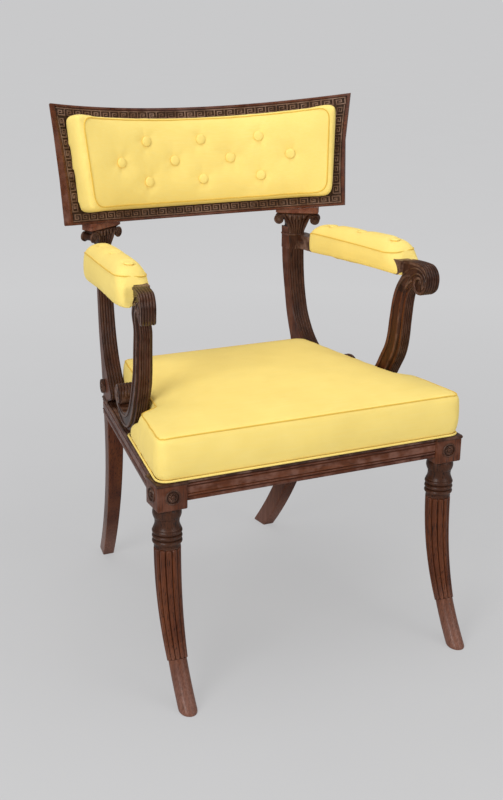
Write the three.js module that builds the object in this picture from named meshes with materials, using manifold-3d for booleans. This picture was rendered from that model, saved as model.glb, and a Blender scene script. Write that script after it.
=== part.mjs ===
// Klismos armchair in carved mahogany with buttoned pads.
// Every piece that the joiner or the upholsterer makes is its own mesh.
// Lengths are millimetres. X runs to the right as seen from the front, Y to the back from the line of the
// front legs, Z up. Right and left in the names are as seen from the front.
import * as THREE from 'three';
import { mergeVertices } from 'three/addons/utils/BufferGeometryUtils.js';
import Module from 'manifold-3d';

const wasm = await Module();
wasm.setup();

// Clearances
const FIT = 0.3;
const CUT_OVER = 1;

// Plan of the frame: two side frames that close in to the back
const LEG_SPACING = 500;
const FRAME_OFFSET = 7;
const TOE_SLOPE = 0.15;

// Seat rails
const RAIL_TOP = 365;
const RAIL_HEIGHT = 34;
const SIDE_RAIL_WIDTH = 30;
const SIDE_RAIL_END = 413;
const FRONT_RAIL_WIDTH = 26;
const FRONT_RAIL_SETBACK = 4;
const REAR_RAIL_WIDTH = 24;
const REAR_RAIL_INSET = 9;
const RAIL_BEAD = 2;
const RAIL_TENON = 20;
const RAIL_TENON_WIDTH = 10;
const SIDE_TENON = 7;
const POST_TENON = 12;

// Front legs: square block, turned head, reeded shaft and plain foot
const BLOCK_SIDE = 50;
const BLOCK_HEIGHT = 46;
const BLOCK_LIP = 1.5;
const BLOCK_LIP_HEIGHT = 3;
const HEAD_HEIGHT = 67;
const HEAD_RADIUS = 24.75;
const SHAFT_RADIUS = 20.75;
const SHAFT_END_RADIUS = 16.5;
const FOOT_RADIUS = 14.75;
const FOOT_HEIGHT = 71;
const FOOT_ROUNDING = 2;
const FRONT_SWEEP = 83;
const SWEEP_START = 264;
const FOOT_BLEND = 30;
const REED_DEPTH = 2;
const FRONT_SWEEP_POWER = 2.4;
const LEG_REEDS = 12;
const REED_POINTS = 3;
const HEAD_FACETS = 16;
const ROLL_FACETS = 12;
const SMALL_FACETS = 10;

// Rear legs: square sabre legs
const REAR_LEG_WIDTH = 30;
const REAR_FOOT_WIDTH = 22;
const REAR_LEG_DEPTH = 36;
const REAR_FOOT_DEPTH = 30;
const REAR_LEG_INSET = 23;
const REAR_SWEEP = 132;
const REAR_SWEEP_POWER = 1.9;
const REAR_FOOT_LEAN = 5;
const ARRIS = 1.5;

// Stiles: reeded posts that sweep forward along the rail at their foot
const STILE_TOP = 640;
const STILE_WIDTH = 30;
const STILE_DEPTH = 24;
const STILE_TOP_REAR = 459;
const STILE_TOE_REACH = 76;
const STILE_BLOCK_DROP = 40;
const STILE_BLOCK_HEIGHT = 28;
const STILE_BLOCK_STEP = 1;
const REED_FACE_DEPTH = 1.2;
const FACE_REEDS = 5;

// Crest tablet: a raked board, hollow to the front
const CREST_RADIUS = 500;
const CREST_LIFT = 31;
const CREST_BASE_Y = 462.5;
const CREST_RAKE = THREE.MathUtils.degToRad(11);
const CREST_OVERHANG = 16.5;
const CREST_FLARE = 19;
const CREST_HEIGHT = 196;
const CREST_END_RISE = 8;
const CREST_THICK = 24;
const CREST_END_THICK = 16;
const CREST_TIP_THICK = 6;
const CREST_BORDER = 4.5;
const CREST_RECESS = 1.5;
const CREST_END_RECESS = 0.1;
const CREST_BEVEL = 0.4;
const CREST_END_POWER = 4;

// Capitals between stiles and crest
const CAPITAL_WIDTH = 58;
const CAPITAL_DEPTH = 28;
const ABACUS_WIDTH = 84;
const ABACUS_DEPTH = 34;
const ABACUS_HEIGHT = 10;
const VOLUTE_RADIUS = 9.5;
const VOLUTE_SPREAD = 67;
const CAPITAL_TURN = THREE.MathUtils.degToRad(32);

// Arm supports: reeded scrolls from the rail to the hand
const ARM_WIDTH = 28;
const ARM_TOP_WIDTH = 24;
const HAND_RADIUS = 24;
const HAND_Y = 82;
const HAND_DROP = 29;
const ROLL_RADIUS = 20;
const ROLL_Y = 277;
const ROLL_RISE = 45;
const ARM_THICK = 29;
const ARM_TENON_SETBACK = 40;

// Arm rails and their pads
const ARM_RAIL_WIDTH = 24;
const ARM_RAIL_HEIGHT = 26;
const ARM_PAD_DROP = 28;
const ARM_PAD_FRONT = 120;
const ARM_PAD_BACK = 390;
const ARM_PAD_WIDTH = 59;
const ARM_PAD_SIDE = 34;
const ARM_PAD_CROWN = 26;
const ARM_PAD_SAG = 11;
const ARM_PAD_SEAM_SAG = 6.5;
const ARM_PAD_HANG = 13;
const ARM_PAD_TUFT = 8;
const ARM_PAD_FRONT_INSET = 1;
const ARM_PAD_BACK_INSET = 31;
const ARM_RAIL_SHIFT = 9;

// Back pad
const BACK_PAD_MARGIN = 19;
const BACK_PAD_SIDE = 31;
const BACK_PAD_CROWN = 10;
const BACK_TUFT = 10;
const BACK_BUTTON_PITCH = 115;
const BACK_BUTTON_ROW = 34;

// Buttons and rosettes
const BUTTON_RADIUS = 7.5;
const BUTTON_HEIGHT = 6;
const TUFT_SPREAD = 15;
const POCKET_FLARE = 1.5;
const ROSETTE_RADIUS = 11.5;
const ROSETTE_HEIGHT = 3.4;
const SIDE_ROSETTE_HEIGHT = 7;
const STILE_ROSETTE_RISE = 23;
const STILE_ROSETTE_INSET = 15;

// Seat: slip frame, webbing and cushion
const SEAT_BAR_WIDTH = 45;
const SEAT_BAR_HEIGHT = 15;
const WEB_WIDTH = 46;
const WEB_THICK = 2;
const WEB_LAP = 22;
const WEBS_ALONG = 4;
const WEBS_ACROSS = 4;
const CUSHION_SIDE = 69;
const CUSHION_CROWN = 22;
const CUSHION_FRONT = 23;
const CUSHION_BACK = 386;
const CUSHION_OVERHANG = 13;
const CUSHION_NOTCH = 106;
const CUSHION_NOTCH_FOOT = 186;
const CUSHION_BULGE = 3;
const CUSHION_CORNER = 15.6;

// Corner blocks and their screws
const CORNER_BLOCK_LEG = 62;
const CORNER_BLOCK_HEIGHT = 20;
const SCREW_RADIUS = 2;
const SCREW_HEAD_RADIUS = 4;
const SCREW_HEAD_HEIGHT = 2.6;
const SCREW_LENGTH = 34;
const SCREW_GRIP = 9;
const SCREW_SINK = 12;
const SCREW_POINT = 4;
const SCREW_TIP_RADIUS = 0.5;
const SCREW_FACETS = 8;

// Colours of the finishes
const MAHOGANY = new THREE.MeshStandardMaterial({ color: 0x4a241a, roughness: 0.38, metalness: 0 });
const DARK_MAHOGANY = new THREE.MeshStandardMaterial({ color: 0x35201a, roughness: 0.42, metalness: 0 });
const BEECH = new THREE.MeshStandardMaterial({ color: 0xb08a5c, roughness: 0.65, metalness: 0 });
const SILK = new THREE.MeshStandardMaterial({ color: 0xfbe07a, roughness: 0.85, metalness: 0 });
const JUTE = new THREE.MeshStandardMaterial({ color: 0x9c8358, roughness: 0.95, metalness: 0 });
const STEEL = new THREE.MeshStandardMaterial({ color: 0x8c8c88, roughness: 0.4, metalness: 0.9 });

const railBottom = RAIL_TOP - RAIL_HEIGHT;
const blockBottom = RAIL_TOP - BLOCK_HEIGHT;
const half = (size) => size / 2;
const blend = (from, to, share) => from + (to - from) * share;
const crestBaseZ = STILE_TOP + CREST_LIFT;
const crestHalf = half(LEG_SPACING) + CREST_OVERHANG;
const handZ = STILE_TOP - HAND_DROP;
const padBottom = STILE_TOP - ARM_PAD_DROP;

/** X of the right side frame's middle plane at a distance Y behind the front legs. */
const frameX = (y) => half(LEG_SPACING) + FRAME_OFFSET - TOE_SLOPE * y;

/** Closed skin over rings of points that all have the same count; both ends are filled. */
function loft(rings) {
  const count = rings[0].length;
  const positions = rings.flat().flatMap((point) => [point.x, point.y, point.z]);
  const triangles = [];
  for (let ring = 0; ring + 1 < rings.length; ring += 1) {
    for (let i = 0; i < count; i += 1) {
      const a = ring * count + i;
      const b = ring * count + (i + 1) % count;
      triangles.push(a, b, b + count, a, b + count, a + count);
    }
  }
  const last = (rings.length - 1) * count;
  fillRing(rings[0]).forEach(([a, b, c]) => triangles.push(c, b, a));
  fillRing(rings.at(-1)).forEach(([a, b, c]) => triangles.push(a + last, b + last, c + last));
  const geometry = new THREE.BufferGeometry();
  geometry.setAttribute('position', new THREE.Float32BufferAttribute(positions, 3));
  geometry.setIndex(triangles);
  return facingOut(geometry);
}

/** Triangles that fill one ring, turned the way the ring runs. */
function fillRing(ring) {
  const normal = new THREE.Vector3();
  ring.forEach((point, i) => normal.add(point.clone().cross(ring[(i + 1) % ring.length])));
  normal.normalize();
  const seed = Math.abs(normal.z) < 0.9 ? new THREE.Vector3(0, 0, 1) : new THREE.Vector3(1, 0, 0);
  const right = seed.clone().cross(normal).normalize();
  const up = normal.clone().cross(right);
  const flat = ring.map((point) => new THREE.Vector2(point.dot(right), point.dot(up)));
  return THREE.ShapeUtils.triangulateShape(flat, []).map((face) => {
    const [a, b, c] = face.map((i) => flat[i]);
    const turn = (b.x - a.x) * (c.y - a.y) - (b.y - a.y) * (c.x - a.x);
    return turn < 0 ? [face[0], face[2], face[1]] : face;
  });
}

/** The same geometry with its faces turned out, so that it encloses a positive volume. */
function facingOut(geometry) {
  const index = geometry.getIndex();
  const place = geometry.getAttribute('position');
  const corner = [0, 1, 2].map(() => new THREE.Vector3());
  let volume = 0;
  for (let i = 0; i < index.count; i += 3) {
    corner.forEach((point, k) => point.fromBufferAttribute(place, index.getX(i + k)));
    volume += corner[0].dot(corner[1].clone().cross(corner[2]));
  }
  if (volume < 0) {
    for (let i = 0; i < index.count; i += 3) {
      const kept = index.getX(i + 1);
      index.setX(i + 1, index.getX(i + 2));
      index.setX(i + 2, kept);
    }
  }
  geometry.computeVertexNormals();
  return geometry;
}

/** Mirror image across the chair's middle plane. */
function mirrored(geometry) {
  const copy = geometry.clone();
  copy.scale(-1, 1, 1);
  return facingOut(copy);
}

/** Manifold solid of a closed geometry. */
function solidOf(geometry) {
  const bare = geometry.clone();
  bare.deleteAttribute('normal');
  bare.deleteAttribute('uv');
  const merged = mergeVertices(bare);
  const vertProperties = new Float32Array(merged.getAttribute('position').array);
  const triVerts = new Uint32Array(merged.getIndex().array);
  return new wasm.Manifold(new wasm.Mesh({ numProp: 3, vertProperties, triVerts }));
}

/** Geometry of a manifold solid. */
function geometryOf(solid) {
  const mesh = solid.getMesh();
  const geometry = new THREE.BufferGeometry();
  geometry.setAttribute('position', new THREE.Float32BufferAttribute(mesh.vertProperties, 3));
  geometry.setIndex(Array.from(mesh.triVerts));
  return facingOut(geometry);
}

/** Box solid between two corners. */
function boxBetween(low, high) {
  const size = high.clone().sub(low);
  const middle = low.clone().add(high).multiplyScalar(0.5);
  const box = new THREE.BoxGeometry(size.x, size.y, size.z);
  box.translate(middle.x, middle.y, middle.z);
  return solidOf(box);
}

/** Box round a middle point, grown on every side by a clearance. */
function tenonBox(middle, size, grow = 0) {
  const reach = size.clone().multiplyScalar(0.5).addScalar(grow);
  return boxBetween(middle.clone().sub(reach), middle.clone().add(reach));
}

/** Turned solid from [radius, height] pairs, its axis along +Z; it starts and ends on the axis. */
function turned(outline, segments) {
  const profile = outline.map(([radius, height]) => new THREE.Vector2(radius, height));
  const first = profile[0];
  const last = profile.at(-1);
  const closed = [new THREE.Vector2(0, first.y), ...profile, new THREE.Vector2(0, last.y)];
  const distinct = closed.filter((point, i) => i === 0 || !point.equals(closed[i - 1]));
  const spun = new THREE.LatheGeometry(distinct, segments);
  spun.rotateX(half(Math.PI));
  spun.deleteAttribute('normal');
  spun.deleteAttribute('uv');
  return facingOut(mergeVertices(spun));
}

/** Turns a geometry so that its +Z runs along a direction, then moves it to a place. */
function aimed(geometry, place, direction) {
  const upright = new THREE.Vector3(0, 0, 1);
  const turn = new THREE.Quaternion().setFromUnitVectors(upright, direction.clone().normalize());
  return geometry.clone().applyQuaternion(turn).translate(place.x, place.y, place.z);
}

/** Offsets across a face and the depth of the reeds there, from one edge to the other. */
function reededFace(width, count, depth) {
  const points = [];
  for (let reed = 0; reed < count; reed += 1) {
    const edge = -half(width) + (width * reed) / count;
    const pitch = width / count;
    points.push([edge, -depth], [edge + half(pitch), 0]);
  }
  points.push([half(width), -depth]);
  return points;
}

// Front legs

const HEAD_SHARES = [
  [0.89, 0], [0.89, 0.05], [0.96, 0.09], [0.98, 0.18], [0.95, 0.27], [0.83, 0.32], [0.78, 0.37], [0.79, 0.43],
  [0.86, 0.51], [0.93, 0.57], [1, 0.6], [1, 0.65], [0.93, 0.69], [1, 0.72], [1, 0.77], [0.93, 0.81], [1, 0.84],
  [1, 0.89], [0.93, 0.93], [0.88, 0.94], [0.88, 1],
];
const SHAFT_STATION_SHARES = [0, 0.1, 0.3, 0.5, 0.68, 0.84, 1];
const FOOT_STATION_SHARES = [1, 0.78, 0.55, 0.34, 0.06];
const SHAFT_WAIST_SHARE = 0.55;

/** Sweep and slope of a sabre leg at height z below its start. */
function sabre(z, start, reach, power) {
  const share = Math.max((start - z) / start, 0);
  return { reach: reach * share ** power, lean: Math.atan((reach * power / start) * share ** (power - 1)) };
}

/** Ring of the front leg's shaft: square to the swept line, but level where it stands. */
function shaftRing(z, radius, reedDepth) {
  const { reach, lean } = sabre(z, SWEEP_START, FRONT_SWEEP, FRONT_SWEEP_POWER);
  const tilt = lean * Math.min(z / FOOT_BLEND, 1);
  const stretch = 1 / Math.cos(lean - tilt);
  const count = LEG_REEDS * REED_POINTS;
  return Array.from({ length: count }, (_, i) => {
    const angle = (2 * Math.PI * i) / count;
    const size = i % REED_POINTS === 0 ? radius - reedDepth : radius;
    const along = size * Math.sin(angle) * stretch;
    return new THREE.Vector3(size * Math.cos(angle), -reach + along * Math.cos(tilt), z - along * Math.sin(tilt));
  });
}

/** Front leg on the right, its axis at the origin: block, turned head, reeded shaft and foot. */
function frontLegSolid() {
  const block = boxBetween(
    new THREE.Vector3(-half(BLOCK_SIDE), -half(BLOCK_SIDE), blockBottom),
    new THREE.Vector3(half(BLOCK_SIDE), half(BLOCK_SIDE), RAIL_TOP),
  );
  const lip = boxBetween(
    new THREE.Vector3(-half(BLOCK_SIDE), -half(BLOCK_SIDE) - BLOCK_LIP, RAIL_TOP - BLOCK_LIP_HEIGHT),
    new THREE.Vector3(half(BLOCK_SIDE) + BLOCK_LIP, half(BLOCK_SIDE), RAIL_TOP),
  );
  const outline = HEAD_SHARES.map(([r, h]) => [r * HEAD_RADIUS, blockBottom - h * HEAD_HEIGHT]);
  const head = turned([[outline[0][0], blockBottom + CUT_OVER], ...outline], HEAD_FACETS);
  const shaftTop = blockBottom - HEAD_HEIGHT;
  const shaft = SHAFT_STATION_SHARES.map((share) => {
    const z = blend(shaftTop, FOOT_HEIGHT, share);
    const taper = share ** (1 / SHAFT_WAIST_SHARE);
    return shaftRing(z, blend(SHAFT_RADIUS, SHAFT_END_RADIUS, taper), REED_DEPTH);
  });
  const start = shaftRing(shaftTop + CUT_OVER, SHAFT_RADIUS, REED_DEPTH);
  const foot = FOOT_STATION_SHARES.map((share) => shaftRing(FOOT_HEIGHT * share, FOOT_RADIUS, 0));
  const ground = shaftRing(0, FOOT_RADIUS - FOOT_ROUNDING, 0);
  return solidOf(loft([start, ...shaft, ...foot, ground])).add(solidOf(head)).add(block).add(lip);
}

// Seat rails

const MOULD_SHARES = [
  [0, 0], [0, 0.1], [0.75, 0.14], [0.75, 0.24], [0, 0.29], [0, 0.7], [-0.7, 0.76], [-0.7, 0.82], [0.2, 0.86],
  [1, 0.89], [1, 1],
];

/** Rail section as [depth, height] pairs: a moulded face at +half the width, flat elsewhere. */
function railSection(width) {
  const face = MOULD_SHARES.map(([out, up]) => [half(width) + out * RAIL_BEAD, up * RAIL_HEIGHT]);
  return [...face, [-half(width), RAIL_HEIGHT], [-half(width), 0]];
}

const TENON_HEIGHT_SHARE = 0.6;
const tenonHeight = RAIL_HEIGHT * TENON_HEIGHT_SHARE;
const railMiddle = railBottom + half(RAIL_HEIGHT);
const frontRailY = -half(BLOCK_SIDE) + FRONT_RAIL_SETBACK + half(FRONT_RAIL_WIDTH);
const frontRailInner = frontRailY + half(FRONT_RAIL_WIDTH);
const blockInnerX = half(LEG_SPACING) - half(BLOCK_SIDE);
const blockBackY = half(BLOCK_SIDE);
const rearRailY = SIDE_RAIL_END - REAR_RAIL_INSET - half(REAR_RAIL_WIDTH);
const rearRailInner = rearRailY - half(REAR_RAIL_WIDTH);
const rearLegY = SIDE_RAIL_END - REAR_LEG_INSET;
const railInnerX = (y) => frameX(y) - half(SIDE_RAIL_WIDTH);

/** Front rail's tenon in the right leg's block. */
const frontTenon = (grow) => tenonBox(
  new THREE.Vector3(blockInnerX + half(RAIL_TENON) - half(CUT_OVER), frontRailY, railMiddle),
  new THREE.Vector3(RAIL_TENON + CUT_OVER, RAIL_TENON_WIDTH, tenonHeight),
  grow,
);

/** Right side rail's tenon in the leg's block. */
const sideTenon = (grow) => tenonBox(
  new THREE.Vector3(frameX(blockBackY), blockBackY - half(RAIL_TENON) + half(CUT_OVER), railMiddle),
  new THREE.Vector3(RAIL_TENON_WIDTH, RAIL_TENON + CUT_OVER, tenonHeight),
  grow,
);

/** Rear rail's tenon in the right side rail. */
const rearTenon = (grow) => tenonBox(
  new THREE.Vector3(railInnerX(rearRailY) + half(SIDE_TENON) - CUT_OVER, rearRailY, railMiddle),
  new THREE.Vector3(SIDE_TENON + CUT_OVER * 2, RAIL_TENON_WIDTH, half(tenonHeight)),
  grow,
);

/** Upright tenon that stands in the rail: a post's foot from above or a leg's head from below. */
const postTenon = (y, fromZ, grow) => tenonBox(
  new THREE.Vector3(frameX(y), y, fromZ),
  new THREE.Vector3(RAIL_TENON_WIDTH, RAIL_TENON, POST_TENON * 2),
  grow,
);

const stileTenonY = SIDE_RAIL_END - half(RAIL_TENON) - POST_TENON;
const armTenonY = ROLL_Y - ARM_TENON_SETBACK;

/** Moulded rail between two section planes that both face Y. */
function rightSideRailSolid() {
  const ring = (y) => railSection(SIDE_RAIL_WIDTH).map(([out, up]) => (
    new THREE.Vector3(frameX(y) + out, y, railBottom + up)
  ));
  return solidOf(loft([ring(blockBackY), ring(SIDE_RAIL_END)]))
    .add(sideTenon(0))
    .subtract(rearTenon(FIT))
    .subtract(postTenon(stileTenonY, RAIL_TOP, FIT))
    .subtract(postTenon(rearLegY, railBottom, FIT))
    .subtract(postTenon(armTenonY, RAIL_TOP, FIT));
}

function frontRailSolid() {
  const ring = (x) => railSection(FRONT_RAIL_WIDTH).map(([out, up]) => (
    new THREE.Vector3(x, frontRailY - out, railBottom + up)
  ));
  const bar = solidOf(loft([ring(-blockInnerX), ring(blockInnerX)]));
  const tenon = frontTenon(0);
  return bar.add(tenon).add(tenon.mirror([1, 0, 0]));
}

function rearRailSolid() {
  const low = rearRailInner;
  const high = rearRailInner + REAR_RAIL_WIDTH;
  const end = (side) => [
    new THREE.Vector3(side * railInnerX(low), low, railBottom),
    new THREE.Vector3(side * railInnerX(high), high, railBottom),
    new THREE.Vector3(side * railInnerX(high), high, RAIL_TOP),
    new THREE.Vector3(side * railInnerX(low), low, RAIL_TOP),
  ];
  const tenon = rearTenon(0);
  return solidOf(loft([end(-1), end(1)])).add(tenon).add(tenon.mirror([1, 0, 0]));
}

// Rear legs

const REAR_STATION_SHARES = [0, 0.13, 0.26, 0.38, 0.5, 0.6, 0.7, 0.79, 0.87, 0.93, 1];

/** Ring of the rear leg: a rectangle with eased corners, square to the sabre line and level at the floor. */
function rearLegRing(share) {
  const z = railBottom * (1 - share);
  const { reach, lean } = sabre(z, railBottom, REAR_SWEEP, REAR_SWEEP_POWER);
  const tilt = lean * Math.min(z / FOOT_BLEND, 1);
  const stretch = 1 / Math.cos(lean - tilt);
  const wide = half(blend(REAR_LEG_WIDTH, REAR_FOOT_WIDTH, share));
  const deep = half(blend(REAR_LEG_DEPTH, REAR_FOOT_DEPTH, share));
  const corners = [[1, 1], [-1, 1], [-1, -1], [1, -1]];
  const outline = corners.flatMap(([across, along]) => {
    const side = [(wide - ARRIS) * across, deep * along];
    const end = [wide * across, (deep - ARRIS) * along];
    return across * along > 0 ? [end, side] : [side, end];
  });
  return outline.map(([across, along]) => {
    const y = rearLegY + reach + along * stretch * Math.cos(tilt);
    return new THREE.Vector3(
      frameX(y) - REAR_FOOT_LEAN * share + across,
      y,
      z + along * stretch * Math.sin(tilt),
    );
  });
}

const rightRearLegSolid = () => solidOf(loft(REAR_STATION_SHARES.map(rearLegRing)))
  .add(postTenon(rearLegY, railBottom, 0));

// Stiles

const CREST_TURN = Math.asin(frameX(STILE_TOP_REAR) / CREST_RADIUS);
const STILE_FRONT_SHARES = [
  [0, 0.86], [0.02, 0.93], [0.055, 1.25], [0.09, 1.29], [0.13, 1.12], [0.19, 0.88], [0.24, 0.68], [0.31, 0.48],
  [0.42, 0.27], [0.56, 0.13], [0.7, 0.05], [0.85, 0.01], [1, 0],
];
const STILE_REAR_SHARES = [1, 0.97, 0.91, 0.86, 0.8, 0.72, 0.66, 0.52, 0.34, 0.2, 0.11, 0.05, 0];

/** Level ring of the right stile; its reeded front turns in to follow the crest. */
function stileRing(index, grow) {
  const [rise, reach] = STILE_FRONT_SHARES[index];
  const z = blend(RAIL_TOP, STILE_TOP - FIT, rise);
  const rear = blend(STILE_TOP_REAR, SIDE_RAIL_END, STILE_REAR_SHARES[index]) + grow;
  const front = STILE_TOP_REAR - STILE_DEPTH - STILE_TOE_REACH * reach - grow;
  const turn = CREST_TURN * rise ** 2;
  const face = reededFace(STILE_WIDTH, FACE_REEDS, REED_FACE_DEPTH);
  const outline = [
    ...face.map(([across, sunk]) => [across * (1 + grow / STILE_WIDTH * 2), front - sunk]),
    [half(STILE_WIDTH) + grow, rear],
    [-half(STILE_WIDTH) - grow, rear],
  ];
  return outline.map(([across, y]) => {
    const turnedY = y - across * Math.sin(turn);
    return new THREE.Vector3(frameX(y) + across * Math.cos(turn), turnedY, z);
  });
}

/** Plain block at the height of the arm rail, a step proud of the reeds. */
function stileBlock(grow) {
  const y = STILE_TOP_REAR - half(STILE_DEPTH);
  const step = STILE_BLOCK_STEP + grow;
  const ring = (z) => [[-1, -1], [1, -1], [1, 1], [-1, 1]].map(([across, along]) => {
    const acrossEdge = across * (half(STILE_WIDTH) + step);
    const level = y + along * (half(STILE_DEPTH) + step);
    return new THREE.Vector3(
      frameX(level) + acrossEdge * Math.cos(CREST_TURN),
      level - acrossEdge * Math.sin(CREST_TURN),
      z,
    );
  });
  const bottom = STILE_TOP - STILE_BLOCK_DROP;
  return solidOf(loft([ring(bottom - grow), ring(bottom + STILE_BLOCK_HEIGHT + grow)]));
}

const stileLoft = (grow) => solidOf(loft(STILE_FRONT_SHARES.map((_, index) => stileRing(index, grow))))
  .add(stileBlock(grow));

// Arm supports

const ROLL_Z = RAIL_TOP + ROLL_RISE;
const ARM_PATH_SHARES = [
  [0.02, 1.03], [0.12, 1.02], [0.19, 0.97], [0.215, 0.9], [0.225, 0.82], [0.245, 0.68], [0.26, 0.56],
  [0.29, 0.46], [0.345, 0.37], [0.42, 0.26], [0.53, 0.15], [0.67, 0.08], [0.82, 0.06], [0.97, 0.1],
  [1.06, 0.19], [1.05, 0.29],
];
const ARM_THICK_SHARES = [
  0.7, 0.8, 0.92, 0.95, 0.97, 1, 1.02, 1.03, 1.03, 1, 1, 0.98, 0.9, 0.76, 0.62, 0.45,
];
const armBase = RAIL_TOP + FIT;

/** Ring of the arm support at a step along its path; the reeds are on the outer side of the curve. */
function armRing(index, grow) {
  const at = (i) => {
    const [along, up] = ARM_PATH_SHARES[THREE.MathUtils.clamp(i, 0, ARM_PATH_SHARES.length - 1)];
    return new THREE.Vector2(blend(HAND_Y, ROLL_Y, along), blend(RAIL_TOP, handZ, up));
  };
  const middle = at(index);
  const tangent = at(index + 1).sub(at(index - 1)).normalize();
  const outer = new THREE.Vector2(-tangent.y, tangent.x).multiplyScalar(-1);
  const share = index / (ARM_PATH_SHARES.length - 1);
  const width = blend(ARM_TOP_WIDTH, ARM_WIDTH, Math.min(share * 2, 1));
  const thick = half(ARM_THICK * ARM_THICK_SHARES[index]);
  const face = reededFace(width, FACE_REEDS, REED_FACE_DEPTH);
  const outline = [
    ...face.map(([across, sunk]) => [across * (1 + grow / width * 2), thick + sunk + grow]),
    [half(width) + grow, -thick - grow],
    [-half(width) - grow, -thick - grow],
  ];
  return outline.map(([across, out]) => {
    const y = middle.x + outer.x * out;
    const z = Math.max(middle.y + outer.y * out, armBase - grow);
    return new THREE.Vector3(frameX(y) + across, y, z);
  });
}

/** Reeded roll with its axis across the arm. */
function rollSolid(radius, width, y, z, grow) {
  const face = reededFace(width, FACE_REEDS, REED_FACE_DEPTH);
  const outline = face.map(([across, sunk]) => [radius + sunk + grow, across * (1 + grow / width * 2)]);
  const place = new THREE.Vector3(frameX(y), y, z);
  return solidOf(aimed(turned(outline, ROLL_FACETS), place, new THREE.Vector3(1, 0, 0)));
}

function armSupportSolid(grow) {
  return solidOf(loft(ARM_PATH_SHARES.map((_, index) => armRing(index, grow))))
    .add(rollSolid(HAND_RADIUS, ARM_TOP_WIDTH, HAND_Y, handZ, grow))
    .add(rollSolid(ROLL_RADIUS, ARM_WIDTH, ROLL_Y, ROLL_Z, grow));
}

// Crest tablet and what follows its curve

/** Place on the crest: x along the front face, w up the board, d out from the front face. */
function onCrest(x, w, d) {
  const angle = Math.asin(x / CREST_RADIUS);
  const radius = CREST_RADIUS - d;
  const sag = CREST_RADIUS - radius * Math.cos(angle);
  return new THREE.Vector3(
    radius * Math.sin(angle),
    CREST_BASE_Y + w * Math.sin(CREST_RAKE) - sag * Math.cos(CREST_RAKE),
    crestBaseZ + w * Math.cos(CREST_RAKE) + sag * Math.sin(CREST_RAKE),
  );
}

/** Direction out of the crest's front face at x. */
const crestNormal = (x) => onCrest(x, 0, 1).sub(onCrest(x, 0, 0)).normalize();

const crestTop = (share) => CREST_HEIGHT + CREST_END_RISE * share ** 2;
const crestHalfWidth = (w) => crestHalf + CREST_FLARE * (w / (CREST_HEIGHT + CREST_END_RISE)) ** 2;
const crestUnderside = (y) => crestBaseZ - Math.tan(CREST_RAKE) * (y - CREST_BASE_Y);
const CREST_STEPS = 24;
const CREST_RISE_SHARES = [0, 0.35, 0.7, 1];

/** Ring of the crest across its section at a share of its half width. */
function crestRing(share, sunk) {
  const top = crestTop(share);
  const endThick = (up) => blend(CREST_END_THICK, CREST_TIP_THICK, up ** 2);
  const thick = (up) => blend(CREST_THICK, endThick(up), share ** CREST_END_POWER);
  const panel = (up) => [blend(CREST_BORDER, top - CREST_BORDER, up), -sunk];
  const outline = [
    [0, 0], [CREST_BORDER, 0], ...CREST_RISE_SHARES.map(panel), [top - CREST_BORDER, 0], [top, 0],
    ...CREST_RISE_SHARES.toReversed().map((up) => [top * up, -thick(up)]),
  ];
  return outline.map(([w, d]) => onCrest(share * crestHalfWidth(w), w, d));
}

function crestGeometry() {
  const edge = 1 - CREST_BORDER / crestHalf;
  const inner = 1 - (CREST_BORDER + CREST_BEVEL) / crestHalf;
  const rings = [crestRing(-1, CREST_END_RECESS), crestRing(-edge, CREST_END_RECESS)];
  for (let step = 0; step <= CREST_STEPS; step += 1) {
    rings.push(crestRing(blend(-inner, inner, step / CREST_STEPS), CREST_RECESS));
  }
  rings.push(crestRing(edge, CREST_END_RECESS), crestRing(1, CREST_END_RECESS));
  return loft(rings);
}

// Capitals

const BELL_SHARES = { across: 0.2, along: 0.4, up: 0.55 };
const SCROLL_SHARES = [[0.85, -1], [1, -0.8], [0.8, 0], [1, 0.8], [0.85, 1]];

/** Right capital: abacus cut to the crest's underside, two scrolls and a bell that meets the stile. */
function capitalSolid() {
  const y = STILE_TOP_REAR - half(STILE_DEPTH);
  const place = (across, along, z, turn = CAPITAL_TURN) => new THREE.Vector3(
    frameX(y + along) + across * Math.cos(turn),
    y + along - across * Math.sin(turn),
    z,
  );
  const slab = (width, depth, z, turn) => [[-1, -1], [1, -1], [1, 1], [-1, 1]].map(([across, along]) => {
    const corner = place(half(width) * across, half(depth) * along, 0, turn);
    corner.z = z ?? crestUnderside(corner.y) - FIT;
    return corner;
  });
  const abacusBottom = crestUnderside(y) - ABACUS_HEIGHT;
  const abacus = loft([
    slab(ABACUS_WIDTH - ABACUS_HEIGHT, ABACUS_DEPTH - half(ABACUS_HEIGHT), abacusBottom),
    slab(ABACUS_WIDTH, ABACUS_DEPTH, abacusBottom + half(ABACUS_HEIGHT)),
    slab(ABACUS_WIDTH, ABACUS_DEPTH),
  ]);
  const bell = loft([
    slab(STILE_WIDTH, STILE_DEPTH, STILE_TOP, CREST_TURN),
    slab(
      blend(STILE_WIDTH, CAPITAL_WIDTH, BELL_SHARES.across),
      blend(STILE_DEPTH, CAPITAL_DEPTH, BELL_SHARES.along),
      blend(STILE_TOP, abacusBottom, BELL_SHARES.up),
      blend(CREST_TURN, CAPITAL_TURN, BELL_SHARES.up),
    ),
    slab(CAPITAL_WIDTH, CAPITAL_DEPTH, abacusBottom + CUT_OVER),
  ]);
  const scrollOutline = SCROLL_SHARES.map(([r, along]) => [r * VOLUTE_RADIUS, along * half(CAPITAL_DEPTH)]);
  const axis = new THREE.Vector3(Math.sin(CAPITAL_TURN), Math.cos(CAPITAL_TURN), 0);
  const scroll = (side) => solidOf(aimed(
    turned(scrollOutline, SMALL_FACETS),
    place(side * half(VOLUTE_SPREAD), 0, abacusBottom + CUT_OVER - VOLUTE_RADIUS),
    axis,
  ));
  return solidOf(abacus).add(solidOf(bell)).add(scroll(1)).add(scroll(-1));
}

// Arm rails and pads

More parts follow.
